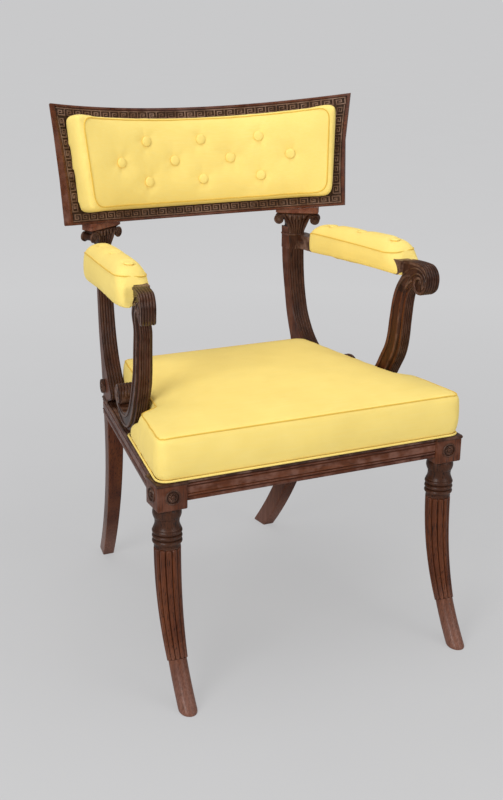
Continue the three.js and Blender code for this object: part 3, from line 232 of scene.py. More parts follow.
@dataclass(frozen=True)
class Wood:
    """Planed or carved wood with bands, fibres and pores along its grain, edges lightened for wear and as a
    painted highlight, and hollows darkened as painted shade.
    """

    name: str
    grain: Grain
    body: int
    band: int
    pore: int
    # edge: pale colour of worn edges and scuffed feet, also laid on crests as a painted highlight
    edge: int
    # hollow: dark colour laid in concave hollows as painted shade
    hollow: int
    roughness: float
    coat: float
    wear: float = 0.5
    band_mm: float = 26.0
    fibre_mm: float = 2.4
    # Pores are 0.3 mm wide, and are drawn wider so that they show
    pore_mm: float = 1.3
    patch_mm: float = 18.0
    relief_mm: float = 0.25
    # Feet are scuffed pale up to a hand's height over the floor
    scuff_mm: tuple[float, float] = (25.0, 105.0)

    def build(self) -> Material:
        """Material of this wood."""
        material, tree = new_material(self.name)
        place = add(tree, "TexCoord")["Object"]
        along = add(tree, "Mapping", {"Vector": place, "Scale": self.grain.value})[0]
        band = add(tree, "TexNoise", {
            "Vector": along, "Scale": 1 / (self.band_mm * MM), "Detail": 4.0, "Roughness": 0.55,
            "Distortion": 0.7,
        })[0]
        fibre = add(tree, "TexNoise", {
            "Vector": along, "Scale": 1 / (self.fibre_mm * MM), "Detail": 3.0, "Roughness": 0.6,
        })[0]
        pore = add(tree, "TexNoise", {"Vector": along, "Scale": 1 / (self.pore_mm * MM), "Detail": 1.0})[0]
        pores = add(tree, "ValToRGB", {"Fac": pore}, ramp=[(0.31, BLACK), (0.42, WHITE)])[0]
        colour = add(tree, "ValToRGB", {"Fac": band}, ramp=[
            (0.32, linear(self.body)), (0.68, linear(self.band)),
        ])[0]
        fibres = add(tree, "ValToRGB", {"Fac": fibre}, ramp=[
            (0.3, (0.72, 0.7, 0.68, 1)), (0.7, (1.16, 1.14, 1.12, 1)),
        ])[0]
        colour = add(tree, "MixRGB", {0: 1.0, 1: colour, 2: fibres}, blend_type="MULTIPLY")[0]
        colour = add(tree, "MixRGB", {0: pores, 1: linear(self.pore), 2: colour})[0]
        bend = add(tree, "NewGeometry")["Pointiness"]
        # Painted highlight and wear: convex crests and edges are lightened towards the edge colour
        crest_wear_and_highlight = add(tree, "ValToRGB", {"Fac": bend}, ramp=[(0.515, BLACK), (0.6, WHITE)])[0]
        patchy = add(tree, "TexNoise", {"Vector": place, "Scale": 1 / (self.patch_mm * MM), "Detail": 3.0})[0]
        patches = add(tree, "ValToRGB", {"Fac": patchy}, ramp=[(0.4, BLACK), (0.65, WHITE)])[0]
        wear_and_highlight = add(tree, "MixRGB", {0: 1.0, 1: crest_wear_and_highlight, 2: patches}, blend_type="MULTIPLY")[0]
        wear_and_highlight = add(tree, "Math", {0: wear_and_highlight, 1: self.wear}, operation="MULTIPLY")[0]
        colour = add(tree, "MixRGB", {0: wear_and_highlight, 1: colour, 2: linear(self.edge)})[0]
        low, high = self.scuff_mm
        height = add(tree, "SeparateXYZ", {0: place})[2]
        foot = add(tree, "MapRange", {
            "Value": height, "From Min": low * MM, "From Max": high * MM, "To Min": 0.95, "To Max": 0.0,
        })[0]
        scuff = add(tree, "Math", {0: foot, 1: fibre}, operation="MULTIPLY")[0]
        colour = add(tree, "MixRGB", {0: scuff, 1: colour, 2: linear(self.edge)})[0]
        # Painted shade: concave hollows are darkened towards the hollow colour
        sunk = add(tree, "ValToRGB", {"Fac": bend}, ramp=[(0.4, WHITE), (0.492, BLACK)])[0]
        sunk = add(tree, "Math", {0: sunk, 1: 0.85}, operation="MULTIPLY")[0]
        colour = add(tree, "MixRGB", {0: sunk, 1: colour, 2: linear(self.hollow)})[0]
        rough = add(tree, "MapRange", {
            "Value": fibre, "From Min": 0.3, "From Max": 0.7,
            "To Min": self.roughness + 0.08, "To Max": self.roughness - 0.06,
        })[0]
        relief = add(tree, "Math", {0: fibre, 1: pores}, operation="ADD")[0]
        bump = add(tree, "Bump", {"Height": relief, "Strength": 0.25, "Distance": self.relief_mm * MM})[0]
        shader = add(tree, "BsdfPrincipled", {
            "Base Color": colour, "Roughness": rough, "Normal": bump, "IOR": 1.5, "Specular IOR Level": 0.16,
            "Coat Weight": self.coat, "Coat Roughness": 0.16,
        })[0]
        add(tree, "OutputMaterial", {"Surface": shader})
        return material


@dataclass(frozen=True)
class Weave:
    """Plain woven cloth: warp and weft that cross over, with slubs, soft fuzz, and painted shade in its creases
    and between its threads.
    """

    name: str
    thread: int
    slub: int
    # fold: colour of the painted shade in creases and between the threads
    fold: int
    # The silk's threads are 0.3 mm apart, and are drawn coarser so that they show
    thread_mm: float
    relief_mm: float
    sheen: float
    slub_mm: float = 2.2
    cloud_mm: float = 70.0

    def build(self) -> Material:
        """Material of this cloth."""
        material, tree = new_material(self.name)
        place = add(tree, "TexCoord")["Object"]
        axes = add(tree, "SeparateXYZ", {0: place})
        surface = add(tree, "NewGeometry")
        facing = add(tree, "SeparateXYZ", {0: surface["Normal"]})
        waves = []
        for axis in range(3):
            turn = add(tree, "Math", {0: axes[axis], 1: math.pi / (self.thread_mm * MM)}, operation="MULTIPLY")
            waves.append(add(tree, "Math", {0: turn[0]}, operation="SINE")[0])
        height = None
        for axis in range(3):
            crossing = add(tree, "Math", {0: waves[axis - 2], 1: waves[axis - 1]}, operation="MULTIPLY")[0]
            weight = add(tree, "Math", {0: facing[axis], 1: 2.0}, operation="POWER")[0]
            part = add(tree, "Math", {0: crossing, 1: weight}, operation="MULTIPLY")[0]
            height = part if height is None else add(tree, "Math", {0: height, 1: part}, operation="ADD")[0]
        slubs = add(tree, "Mapping", {"Vector": place, "Scale": (0.06, 1.0, 1.0)})[0]
        slub = add(tree, "TexNoise", {"Vector": slubs, "Scale": 1 / (self.slub_mm * MM), "Detail": 2.0})[0]
        cloud = add(tree, "TexNoise", {"Vector": place, "Scale": 1 / (self.cloud_mm * MM), "Detail": 3.0})[0]
        streak = add(tree, "ValToRGB", {"Fac": slub}, ramp=[(0.35, BLACK), (0.75, WHITE)])[0]
        streak = add(tree, "Math", {0: streak, 1: 0.3}, operation="MULTIPLY")[0]
        colour = add(tree, "MixRGB", {0: streak, 1: linear(self.thread), 2: linear(self.slub)})[0]
        clouds = add(tree, "ValToRGB", {"Fac": cloud}, ramp=[
            (0.3, (0.955, 0.945, 0.92, 1)), (0.7, (1.02, 1.02, 1.03, 1)),
        ])[0]
        colour = add(tree, "MixRGB", {0: 1.0, 1: colour, 2: clouds}, blend_type="MULTIPLY")[0]
        # Painted shade: the weave's low places are darkened a little towards the fold colour
        shade = add(tree, "MapRange", {
            "Value": height, "From Min": -1.0, "From Max": 1.0, "To Min": 0.0, "To Max": 0.12,
        })[0]
        colour = add(tree, "MixRGB", {0: shade, 1: colour, 2: linear(self.fold)})[0]
        # Painted shade: creases and hollows, found by pointiness, are darkened towards the fold colour
        folds = add(tree, "ValToRGB", {"Fac": surface["Pointiness"]}, ramp=[(0.42, WHITE), (0.49, BLACK)])[0]
        folds = add(tree, "Math", {0: folds, 1: 0.55}, operation="MULTIPLY")[0]
        colour = add(tree, "MixRGB", {0: folds, 1: colour, 2: linear(self.fold)})[0]
        relief = add(tree, "Math", {0: height, 1: slub}, operation="ADD")[0]
        bump = add(tree, "Bump", {"Height": relief, "Strength": 0.35, "Distance": self.relief_mm * MM})[0]
        rough = add(tree, "MapRange", {
            "Value": slub, "From Min": 0.3, "From Max": 0.7, "To Min": 0.78, "To Max": 0.92,
        })[0]
        shader = add(tree, "BsdfPrincipled", {
            "Base Color": colour, "Roughness": rough, "Normal": bump, "IOR": 1.45,
            "Sheen Weight": self.sheen, "Sheen Roughness": 0.5, "Specular IOR Level": 0.2,
        })[0]
        add(tree, "OutputMaterial", {"Surface": shader})
        return material


@dataclass(frozen=True)
class BrushedSteel:
    """Drawn steel wire turned to a screw, with fine lines round it and a dull grey skin."""

    name: str = "drawn_steel"
    metal: int = 0x9A9A96
    dull: int = 0x6E6C66
    line_mm: float = 0.8
    stain_mm: float = 5.0
    relief_mm: float = 0.1

    def build(self) -> Material:
        """Material of this steel."""
        material, tree = new_material(self.name)
        place = add(tree, "TexCoord")["Object"]
        lines = add(tree, "TexNoise", {"Vector": place, "Scale": 1 / (self.line_mm * MM), "Detail": 4.0})[0]
        stain = add(tree, "TexNoise", {"Vector": place, "Scale": 1 / (self.stain_mm * MM), "Detail": 3.0})[0]
        colour = add(tree, "ValToRGB", {"Fac": stain}, ramp=[
            (0.4, linear(self.dull)), (0.6, linear(self.metal)),
        ])[0]
        rough = add(tree, "MapRange", {"Value": lines, "To Min": 0.3, "To Max": 0.55})[0]
        bump = add(tree, "Bump", {"Height": lines, "Strength": 0.2, "Distance": self.relief_mm * MM})[0]
        shader = add(tree, "BsdfPrincipled", {
            "Base Color": colour, "Metallic": 1.0, "Roughness": rough, "Normal": bump,
        })[0]
        add(tree, "OutputMaterial", {"Surface": shader})
        return material


class Slot(Enum):
    """Slots of the record, one for each kind of finish of the pieces."""

    MAHOGANY = "mahogany"
    CARVED = "carved_mahogany"
    COVER = "yellow_cover"
    JUTE = "jute_webbing"


def french_polished(grain: Grain) -> Wood:
    """Mahogany under shellac: red-brown with a soft gloss, lighter along its edges for wear and as a painted
    highlight.
    """
    return Wood(
        f"french_polished_mahogany_{grain.name.lower()}", grain,
        0x482111, 0x66371D, 0x200D06, 0x90685A, 0x140805, roughness=0.4, coat=0.1,
    )


def waxed_carving(grain: Grain) -> Wood:
    """Carved mahogany under old wax: near black in its hollows from the wax and from painted shade, brown on its
    crests from wear and as a painted highlight.
    """
    return Wood(
        f"waxed_carved_mahogany_{grain.name.lower()}", grain,
        0x30190F, 0x4C2C1B, 0x140905, 0x907060, 0x0B0603, roughness=0.4, coat=0.08, wear=0.7,
    )


class Finishes:
    """The materials of the chair, each built once."""

    def __init__(self) -> None:
        """Builds every material."""
        self.mahogany = {grain: french_polished(grain).build() for grain in Grain}
        self.carved = {grain: waxed_carving(grain).build() for grain in Grain}
        # Painted light: the slabs under the crest get a lighter, redder copy of the polish for the light that they
        # catch
        self.slab = Wood(
            "french_polished_red_mahogany", Grain.ACROSS, 0x6E3C29, 0x845240, 0x3A1B10, 0xA07460, 0x220F09,
            roughness=0.38, coat=0.1,
        ).build()
        # Turnings take the polish on the lathe: darker and far glossier, with pale ring crests that are worn and
        # partly a painted highlight
        self.turned = Wood(
            "lathe_polished_mahogany", Grain.UPRIGHT, 0x3A1D10, 0x56301B, 0x1C0C06, 0xA88472, 0x0C0603,
            roughness=0.3, coat=0.8, wear=0.6,
        ).build()
        # Carved keys under worn wax: grey-brown on top; the ground between them is dark brown and dull
        self.keys = Wood(
            "worn_carved_mahogany", Grain.ACROSS, 0x5C4231, 0x745642, 0x342218, 0x96796A, 0x281A11,
            roughness=0.5, coat=0.05, wear=0.6,
        ).build()
        self.ground = Wood(
            "stained_carved_ground", Grain.ACROSS, 0x3E2C1F, 0x523828, 0x26170E, 0x604838, 0x1E120B,
            roughness=0.6, coat=0.0, wear=0.2,
        ).build()
        # Bare planed beech: pale, open and without any gloss
        self.beech = {grain: Wood(
            f"planed_beech_{grain.name.lower()}", grain, 0xA47C50, 0xBC9666, 0x7C5836, 0xC8A67A, 0x6A4A2E,
            roughness=0.62, coat=0.0, wear=0.25,
        ).build() for grain in Grain}
        # Silk and cotton in plain weave: an even warm yellow with a faint bloom; its darker third colour is
        # painted shade in creases and between the threads
        self.cover = Weave("yellow_silk_plain_weave", 0xFCE281, 0xFDEA9C, 0xE9AC24, 1.5, 0.18, sheen=0.03).build()
        # The same silk turned over a cord at the seams, made darker as painted shade along them
        self.seam = Weave("yellow_silk_seam_painted_shade", 0xE6BE50, 0xEECB66, 0xB88420, 1.2, 0.12, sheen=0.03).build()
        # Jute yarn in plain weave: coarse, brown and dull; its darkest colour is painted shade in creases and
        # between the threads
        self.jute = Weave("jute_webbing_plain_weave", 0x9C8358, 0xB49C6C, 0x5E4A2C, 2.4, 0.5, sheen=0.05).build()
        self.steel = BrushedSteel().build()


# Solids


class Solid:
    """A closed shape in the making, in millimetres, with Y from the line of the front legs."""

    def __init__(self) -> None:
        """Starts an empty shape."""
        self.bm = bmesh.new()

    def sweep(self, rings: Sequence[Sequence[Sequence[float]]], closed: bool = False) -> None:
        """Draws a ring along its stations.

        Args:
            rings: the ring's points at each station, all of one count.
            closed: whether the last station meets the first, as in a welt.
        """
        row = [self.bm.verts.new(point) for point in rings[0]]
        edges = [self.bm.edges.new(pair) for pair in zip(row, row[1:] + row[:1])]
        first = list(edges)
        for ring in [*rings[1:], *(rings[:1] if closed else [])]:
            made = set(bmesh.ops.extrude_edge_only(self.bm, edges=edges)["geom"])
            row = [next(e.other_vert(v) for e in v.link_edges if e.other_vert(v) in made) for v in row]
            for vert, point in zip(row, ring):
                vert.co = point
            edges = [self.bm.edges.get(pair) for pair in zip(row, row[1:] + row[:1])]
        if not closed:
            bmesh.ops.contextual_create(self.bm, geom=first)
            bmesh.ops.contextual_create(self.bm, geom=edges)

    def lathe(self, outline: Sequence[Point], place: Vector, axis: Vector, steps: int = 40) -> None:
        """Spins an outline of [radius, height] round an axis.

        Args:
            outline: radius and height pairs; its ends are closed on the axis.
            place: where height 0 is.
            axis: direction of the height.
            steps: faces round the axis.
        """
        before = set(self.bm.verts)
        ends = [(0.0, outline[0][1]), *outline, (0.0, outline[-1][1])]
        row = [self.bm.verts.new((radius, 0, height)) for radius, height in ends]
        edges = [self.bm.edges.new(pair) for pair in zip(row, row[1:])]
        bmesh.ops.spin(
            self.bm, geom=[*row, *edges], cent=(0, 0, 0), axis=(0, 0, 1), dvec=(0, 0, 0),
            angle=math.tau, steps=steps, use_merge=True, use_duplicate=False,
        )
        made = [v for v in self.bm.verts if v not in before]
        bmesh.ops.remove_doubles(self.bm, verts=made, dist=0.001)
        made = [v for v in self.bm.verts if v not in before]
        turn = Vector((0, 0, 1)).rotation_difference(axis).to_matrix().to_4x4()
        bmesh.ops.transform(self.bm, matrix=Matrix.Translation(place) @ turn, verts=made)

    def block(
        self, low: Sequence[float], high: Sequence[float], ease_mm: float = 0.0,
    ) -> list[bmesh.types.BMVert]:
        """Box between two corners with eased edges."""
        middle, size = (Vector(low) + Vector(high)) / 2, Vector(high) - Vector(low)
        made = bmesh.ops.create_cube(self.bm, size=1.0)["verts"]
        bmesh.ops.scale(self.bm, vec=size, verts=made)
        bmesh.ops.translate(self.bm, vec=middle, verts=made)
        if ease_mm:
            edges = list({edge for vert in made for edge in vert.link_edges})
            bmesh.ops.bevel(
                self.bm, geom=edges, offset=ease_mm, segments=3, profile=0.5, affect="EDGES", material=-1,
            )
        return made

    def tube(self, path: Sequence[Vector], radius: float, closed: bool = False) -> None:
        """Round rod along a path.

        Args:
            path: the middle line's points.
            radius: the rod's radius.
            closed: whether the last point meets the first.
        """
        count = len(path)
        side = None
        rings = []
        for i, point in enumerate(path):
            before = path[i - 1] if i or closed else point
            after = path[(i + 1) % count] if i + 1 < count or closed else point
            along = (after - before).normalized()
            if side is None:
                seed = Vector((0, 0, 1)) if abs(along.z) < 0.9 else Vector((1, 0, 0))
                side = along.cross(seed)
            side = (side - along * side.dot(along)).normalized()
            up = along.cross(side)
            rings.append([
                point + (side * math.cos(turn) + up * math.sin(turn)) * radius
                for turn in (math.tau * k / CORD_SIDES for k in range(CORD_SIDES))
            ])
        self.sweep(rings, closed)

    def dome(self, place: Vector, size: Sequence[float], turn: Matrix, steps: int) -> None:
        """Rounded boss: a ball pressed to a size, turned and put in its place."""
        made = bmesh.ops.create_uvsphere(self.bm, u_segments=steps * 2, v_segments=steps, radius=1.0)["verts"]
        matrix = Matrix.Translation(place) @ turn.to_4x4() @ Matrix.Diagonal((*size, 1.0))
        bmesh.ops.transform(self.bm, matrix=matrix, verts=made)

    def mirrored(self) -> "Solid":
        """Copy on the chair's other side."""
        other = Solid()
        other.bm = self.bm.copy()
        bmesh.ops.scale(other.bm, vec=(-1, 1, 1), verts=other.bm.verts)
        return other

    def piece(
        self, name: str, material: Material, slot: Slot, nodes: Sequence[str] = (), crease: float = 32.0,
    ) -> Object:
        """Ends the shape as a piece of the chair.

        Args:
            name: the piece's name.
            material: its finish.
            slot: the record's slot of that finish; not used.
            nodes: solids that it stands for.
            crease: angle in degrees from which an edge shows sharp.

        Returns:
            The piece, riding on the chair's body.
        """
        bmesh.ops.remove_doubles(self.bm, verts=self.bm.verts, dist=0.002)
        bmesh.ops.recalc_face_normals(self.bm, faces=self.bm.faces)
        bmesh.ops.translate(self.bm, vec=(0, LEG_LINE, 0), verts=self.bm.verts)
        bmesh.ops.scale(self.bm, vec=(MM, MM, MM), verts=self.bm.verts)
        mesh = bpy.data.meshes.new(name)
        self.bm.to_mesh(mesh)
        self.bm.free()
        mesh.shade_smooth()
        mesh.set_sharp_from_angle(angle=math.radians(crease))
        mesh.materials.append(material)
        return placed(name, mesh, slot, nodes)


def placed(name: str, mesh: Mesh, slot: Slot, nodes: Sequence[str]) -> Object:
    """Puts a mesh in the scene as a piece of the chair's body that stands for the named solids."""
    made = bpy.data.objects.new(name, mesh)
    bpy.context.scene.collection.objects.link(made)
    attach(made, "root")
    if nodes:
        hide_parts(*nodes)
    log.info("%s: %d faces", name, len(mesh.polygons))
    return made


def both_sides(
    shape: Solid, name: str, material: Material, slot: Slot, nodes: Sequence[str] = (),
) -> list[Object]:
    """Ends a right-hand shape as two pieces, with the nodes' names less their side."""
    left = shape.mirrored()
    return [
        side.piece(f"{name}_{word}", material, slot, [f"{node}_{word}" for node in nodes])
        for side, word in ((shape, "right"), (left, "left"))
    ]


def spiral(centre: tuple[float, float], stops: Sequence[tuple[float, float]], steps: int = 10) -> list[Point]:
    """Points of a scroll: stops are [angle in degrees, radius] round a centre."""
    return [
        (centre[0] + radius * math.cos(math.radians(angle)), centre[1] + radius * math.sin(math.radians(angle)))
        for angle, radius in curve(stops, steps)
    ]


def paint(
    piece: Object, material: Material, chosen: Callable[[Vector, Vector], bool],
) -> None:
    """Gives a second finish to the faces that a test chooses by middle, in millimetres, and normal."""
    piece.data.materials.append(material)
    for face in piece.data.polygons:
        if chosen(chair_place(face.center), face.normal):
            face.material_index = 1


def chair_place(point: Vector) -> Vector:
    """Place in millimetres from the front legs' line of a point in the row frame."""
    return Vector((point.x / MM, point.y / MM - LEG_LINE, point.z / MM))


# Frame


@dataclass
class Plan:
    """Places that the whole frame shares."""

    leg_x: float = 250.0
    toe: float = 0.15
    offset: float = 7.0
    rail_top: float = 365.0
    rail_height: float = 34.0
    rail_width: float = 30.0
    rail_end: float = 413.0

    def side_x(self, y: float) -> float:
        """X of the right side frame's middle plane."""
        return self.leg_x + self.offset - self.toe * y


@dataclass
class FrontLegs:
    """Front legs: square block, turned head, reeded shaft that sweeps forward and plain foot."""

    plan: Plan
    block_height: float = 46.0
    lip: float = 1.5
    lip_height: float = 5.2
    head_height: float = 67.0
    shaft_radius: float = 21.6
    end_radius: float = 16.5
    foot_radius: float = 14.75
    foot_height: float = 71.0
    sweep_start: float = 264.0
    sweep_reach: float = 83.0
    sweep_power: float = 2.4
    level: float = 30.0
    reeds: int = 12
    reed_depth: float = 3.2
    reed_steps: int = 10
    # Radius and depth under the block, with how far the line to the next point draws in
    head: tuple[Point, ...] = (
        (21.4, 0, 0), (21.4, 2.2, 0), (21.6, 2.8, -1.7), (21.2, 18, 0), (20.4, 18.8, 1.8),
        (22.4, 36, 0), (22, 36.6, -2), (22, 44.4, 0), (20.9, 45, 0), (22, 45.6, -2),
        (22, 52.8, 0), (20.9, 53.4, 0), (22, 54, -2), (22, 61.4, 0), (21, 62.2, 0.3),
        (21.2, 67, 0),
    )

    def radius(self, z: float) -> float:
        """Outer radius of the shaft at a height."""
        top = self.plan.rail_top - self.block_height - self.head_height
        share = min(max((top - z) / (top - self.foot_height), 0), 1)
        return blend(self.shaft_radius, self.end_radius, share ** 1.8)

    def ring(self, z: float, sunk: float = 0.0) -> list[Point]:
        """Ring of the shaft or foot at a height.

        Args:
            z: height of the ring's middle.
            sunk: how far the ring is drawn in, for the rounded sole.

        Returns:
            The ring's points.
        """
        top = self.plan.rail_top - self.block_height - self.head_height
        share = max((self.sweep_start - z) / self.sweep_start, 0)
        reach = self.sweep_reach * share ** self.sweep_power
        slope = self.sweep_reach * self.sweep_power / self.sweep_start * share ** (self.sweep_power - 1)
        lean = math.atan(slope)
        tilt = lean * min(z / self.level, 1)
        stretch = 1 / math.cos(lean - tilt)
        valley = self.radius(z) - self.reed_depth
        half_reed = math.pi * self.radius(z) / self.reeds
        near = min(z - self.foot_height, top - 1 - z) / half_reed
        open_share = math.sqrt(1 - (1 - min(max(near, 0), 1)) ** 2)
        points = []
        for i in range(self.reeds * self.reed_steps):
            turn = math.tau * i / (self.reeds * self.reed_steps)
            u = 2 * (i % self.reed_steps) / self.reed_steps - 1
            inside = abs(u) < open_share
            rise = math.sqrt(1 - (u / open_share) ** 2) if inside else 0
            size = valley + self.reed_depth * rise if z > self.foot_height else self.foot_radius - sunk
            out = size * math.sin(turn) * stretch
            points.append((
                self.plan.leg_x + size * math.cos(turn),
                -reach + out * math.cos(tilt),
                z - out * math.sin(tilt),
            ))
        return points

    def build(self, finishes: Finishes) -> None:
        """Builds and dresses both legs."""
        shape = Solid()
        half, x = BLOCK_HALF, self.plan.leg_x
        bottom = self.plan.rail_top - self.block_height
        shape.block((x - half, -half, bottom), (x + half, half, self.plan.rail_top - 0.8), 2.6)
        lip = self.plan.rail_top - self.lip_height
        corners = [(x - half, -half), (x + half, -half), (x + half, half), (x - half, half)]
        rings = []
        for out, up in ((-0.4, 0.0), (0.7, 0.5), (self.lip, 1.6), (self.lip, 3.6), (0.7, 4.7), (-0.4, 5.2)):
            drawn = [(cx + math.copysign(out, cx - x), cy + math.copysign(out, cy)) for cx, cy in corners]
            rings.append([(cx, cy, lip + up) for cx, cy in rounded(drawn, [3.0] * 4, 4)])
        shape.sweep(rings)
        shape.lathe(arched(self.head, 8), Vector((x, 0, bottom + 0.5)), Vector((0, 0, -1)), 72)
        top = bottom - self.head_height
        ends = [top + 2, top, top - 1, top - 1.6, top - 2.4, top - 3.4, top - 4.6, top - 6, top - 8]
        body = [blend(top - 12, self.foot_height + 9, step / 26) for step in range(27)]
        tips = [self.foot_height + rise for rise in (6, 4.4, 3.2, 2.2, 1.4, 0.7, 0.2)]
        foot = [self.foot_height * share for share in (1, 0.97, 0.85, 0.7, 0.55, 0.42, 0.3, 0.2, 0.12, 0.06)]
        rings = [self.ring(z) for z in ends + body + tips + foot]
        rings += [self.ring(z, sunk) for z, sunk in ((2.4, 0.2), (1.2, 0.8), (0.4, 1.6), (0.0, 2.8))]
        shape.sweep(rings)
        polished = finishes.mahogany[Grain.UPRIGHT]
        for leg in both_sides(shape, "front_leg_turned", polished, Slot.MAHOGANY, ["front_leg"]):
            paint(leg, finishes.carved[Grain.UPRIGHT], lambda middle, _: middle.z > lip)
            paint(leg, finishes.turned, lambda middle, _: top < middle.z < bottom)


@dataclass
class RearLegs:
    """Rear legs: square sabre legs that sweep back and out."""

    plan: Plan
    inset: float = 23.0
    width: float = 30.0
    foot_width: float = 22.0
    depth: float = 36.0
    foot_depth: float = 30.0
    reach: float = 132.0
    power: float = 1.9
    lean: float = 5.0
    arris: float = 2.2
    level: float = 30.0

    def ring(self, share: float, sunk: float = 0.0) -> list[Point]:
        """Ring at a share of the way from the rail to the floor, drawn in by sunk."""
        start = self.plan.rail_top - self.plan.rail_height
        z = start * (1 - share)
        slope = self.reach * self.power / start * share ** (self.power - 1)
        lean = math.atan(slope)
        tilt = lean * min(z / self.level, 1)
        stretch = 1 / math.cos(lean - tilt)
        wide = blend(self.width, self.foot_width, share) / 2 - sunk
        deep = blend(self.depth, self.foot_depth, share) / 2 - sunk
        outline = rounded([(wide, deep), (-wide, deep), (-wide, -deep), (wide, -deep)], [self.arris] * 4, 4)
        middle = self.plan.rail_end - self.inset + self.reach * share ** self.power
        points = []
        for across, along in outline:
            y = middle + along * stretch * math.cos(tilt)
            x = self.plan.side_x(y) - self.lean * share + across
            points.append((x, y, z + along * stretch * math.sin(tilt)))
        return points

    def build(self, finishes: Finishes) -> None:
        """Builds and dresses both legs."""
        shape = Solid()
        rings = [self.ring(step / 48) for step in range(48)]
        shape.sweep(rings + [self.ring(0.994), self.ring(0.998, 0.5), self.ring(1.0, 1.4)])
        both_sides(shape, "rear_leg_sabre", finishes.mahogany[Grain.UPRIGHT], Slot.MAHOGANY, ["rear_leg"])


@dataclass
class Rails:
    """Front and side seat rails with a bead along the top and a fine bead near the foot."""

    plan: Plan
    front_width: float = 26.0
    front_setback: float = 4.0
    bead: float = 5.6
    face: tuple[Point, ...] = (
        (-0.6, 0, 0), (0, 0.6, 0), (0, 5.4, 0), (-1.2, 5.8, 0), (-1.2, 7, 0),
        (0.1, 7.4, -0.9), (0.1, 10.4, 0), (-1.2, 10.8, 0), (-1.2, 11.8, 0), (0, 12.2, 0),
        (0, 22.6, 0), (-1.3, 23, 0), (-1.3, 24.4, 0), (-0.2, 24.8, -0.8), (-0.2, 27.6, 0),
        (-1.2, 28, 0), (-1.2, 28.8, 0), (0.2, 29.2, -1.6), (0.2, 33.8, 0), (-0.8, 34, 0),
    )
    # Places across a side rail's top, from its outer edge, and their depth: bead, groove, flat and inner bead
    crown: tuple[tuple[float, float], ...] = (
        (-1.6, -0.1), (-2.4, -1.2), (-3.4, -1.2), (-4, -0.2), (-9, -0.2), (-9.6, -1), (-10.4, -1),
        (-11, -0.1),
    )

    def section(self, width: float) -> Section:
        """Section of a rail: its moulded face at +half its width."""
        face = [(width / 2 + out, up) for out, up in arched(self.face, 7)]
        back = -width / 2
        height = self.plan.rail_height
        crown = [(width / 2 + out, height + up) for out, up in self.crown] if width > self.front_width else []
        return [*face, *crown, (back + 1, height), (back, height - 1), (back, 1), (back + 1, 0)]

    def build(self, finishes: Finishes) -> None:
        """Builds and dresses the front rail and both side rails."""
        bottom = self.plan.rail_top - self.plan.rail_height
        inner = self.plan.leg_x - BLOCK_HALF
        middle = -BLOCK_HALF + self.front_setback + self.front_width / 2
        front = Solid()
        section = self.section(self.front_width)
        front.sweep([[(x, middle - out, bottom + up) for out, up in section] for x in (-inner, 0, inner)])
        bead = self.plan.rail_top - self.bead
        rail = front.piece("front_rail_moulded", finishes.mahogany[Grain.ACROSS], Slot.MAHOGANY, ["front_rail"])
        paint(rail, finishes.carved[Grain.ACROSS], lambda middle, _: middle.z > bead)
        side = Solid()
        section = self.section(self.plan.rail_width)
        side.sweep([
            [(self.plan.side_x(y) + out, y, bottom + up) for out, up in section]
            for y in (BLOCK_HALF, 220, self.plan.rail_end - 0.6)
        ])
        polished = finishes.mahogany[Grain.DEEP]
        for rail in both_sides(side, "side_rail_moulded", polished, Slot.MAHOGANY, ["side_rail"]):
            paint(rail, finishes.carved[Grain.DEEP], lambda middle, _: middle.z > bead)


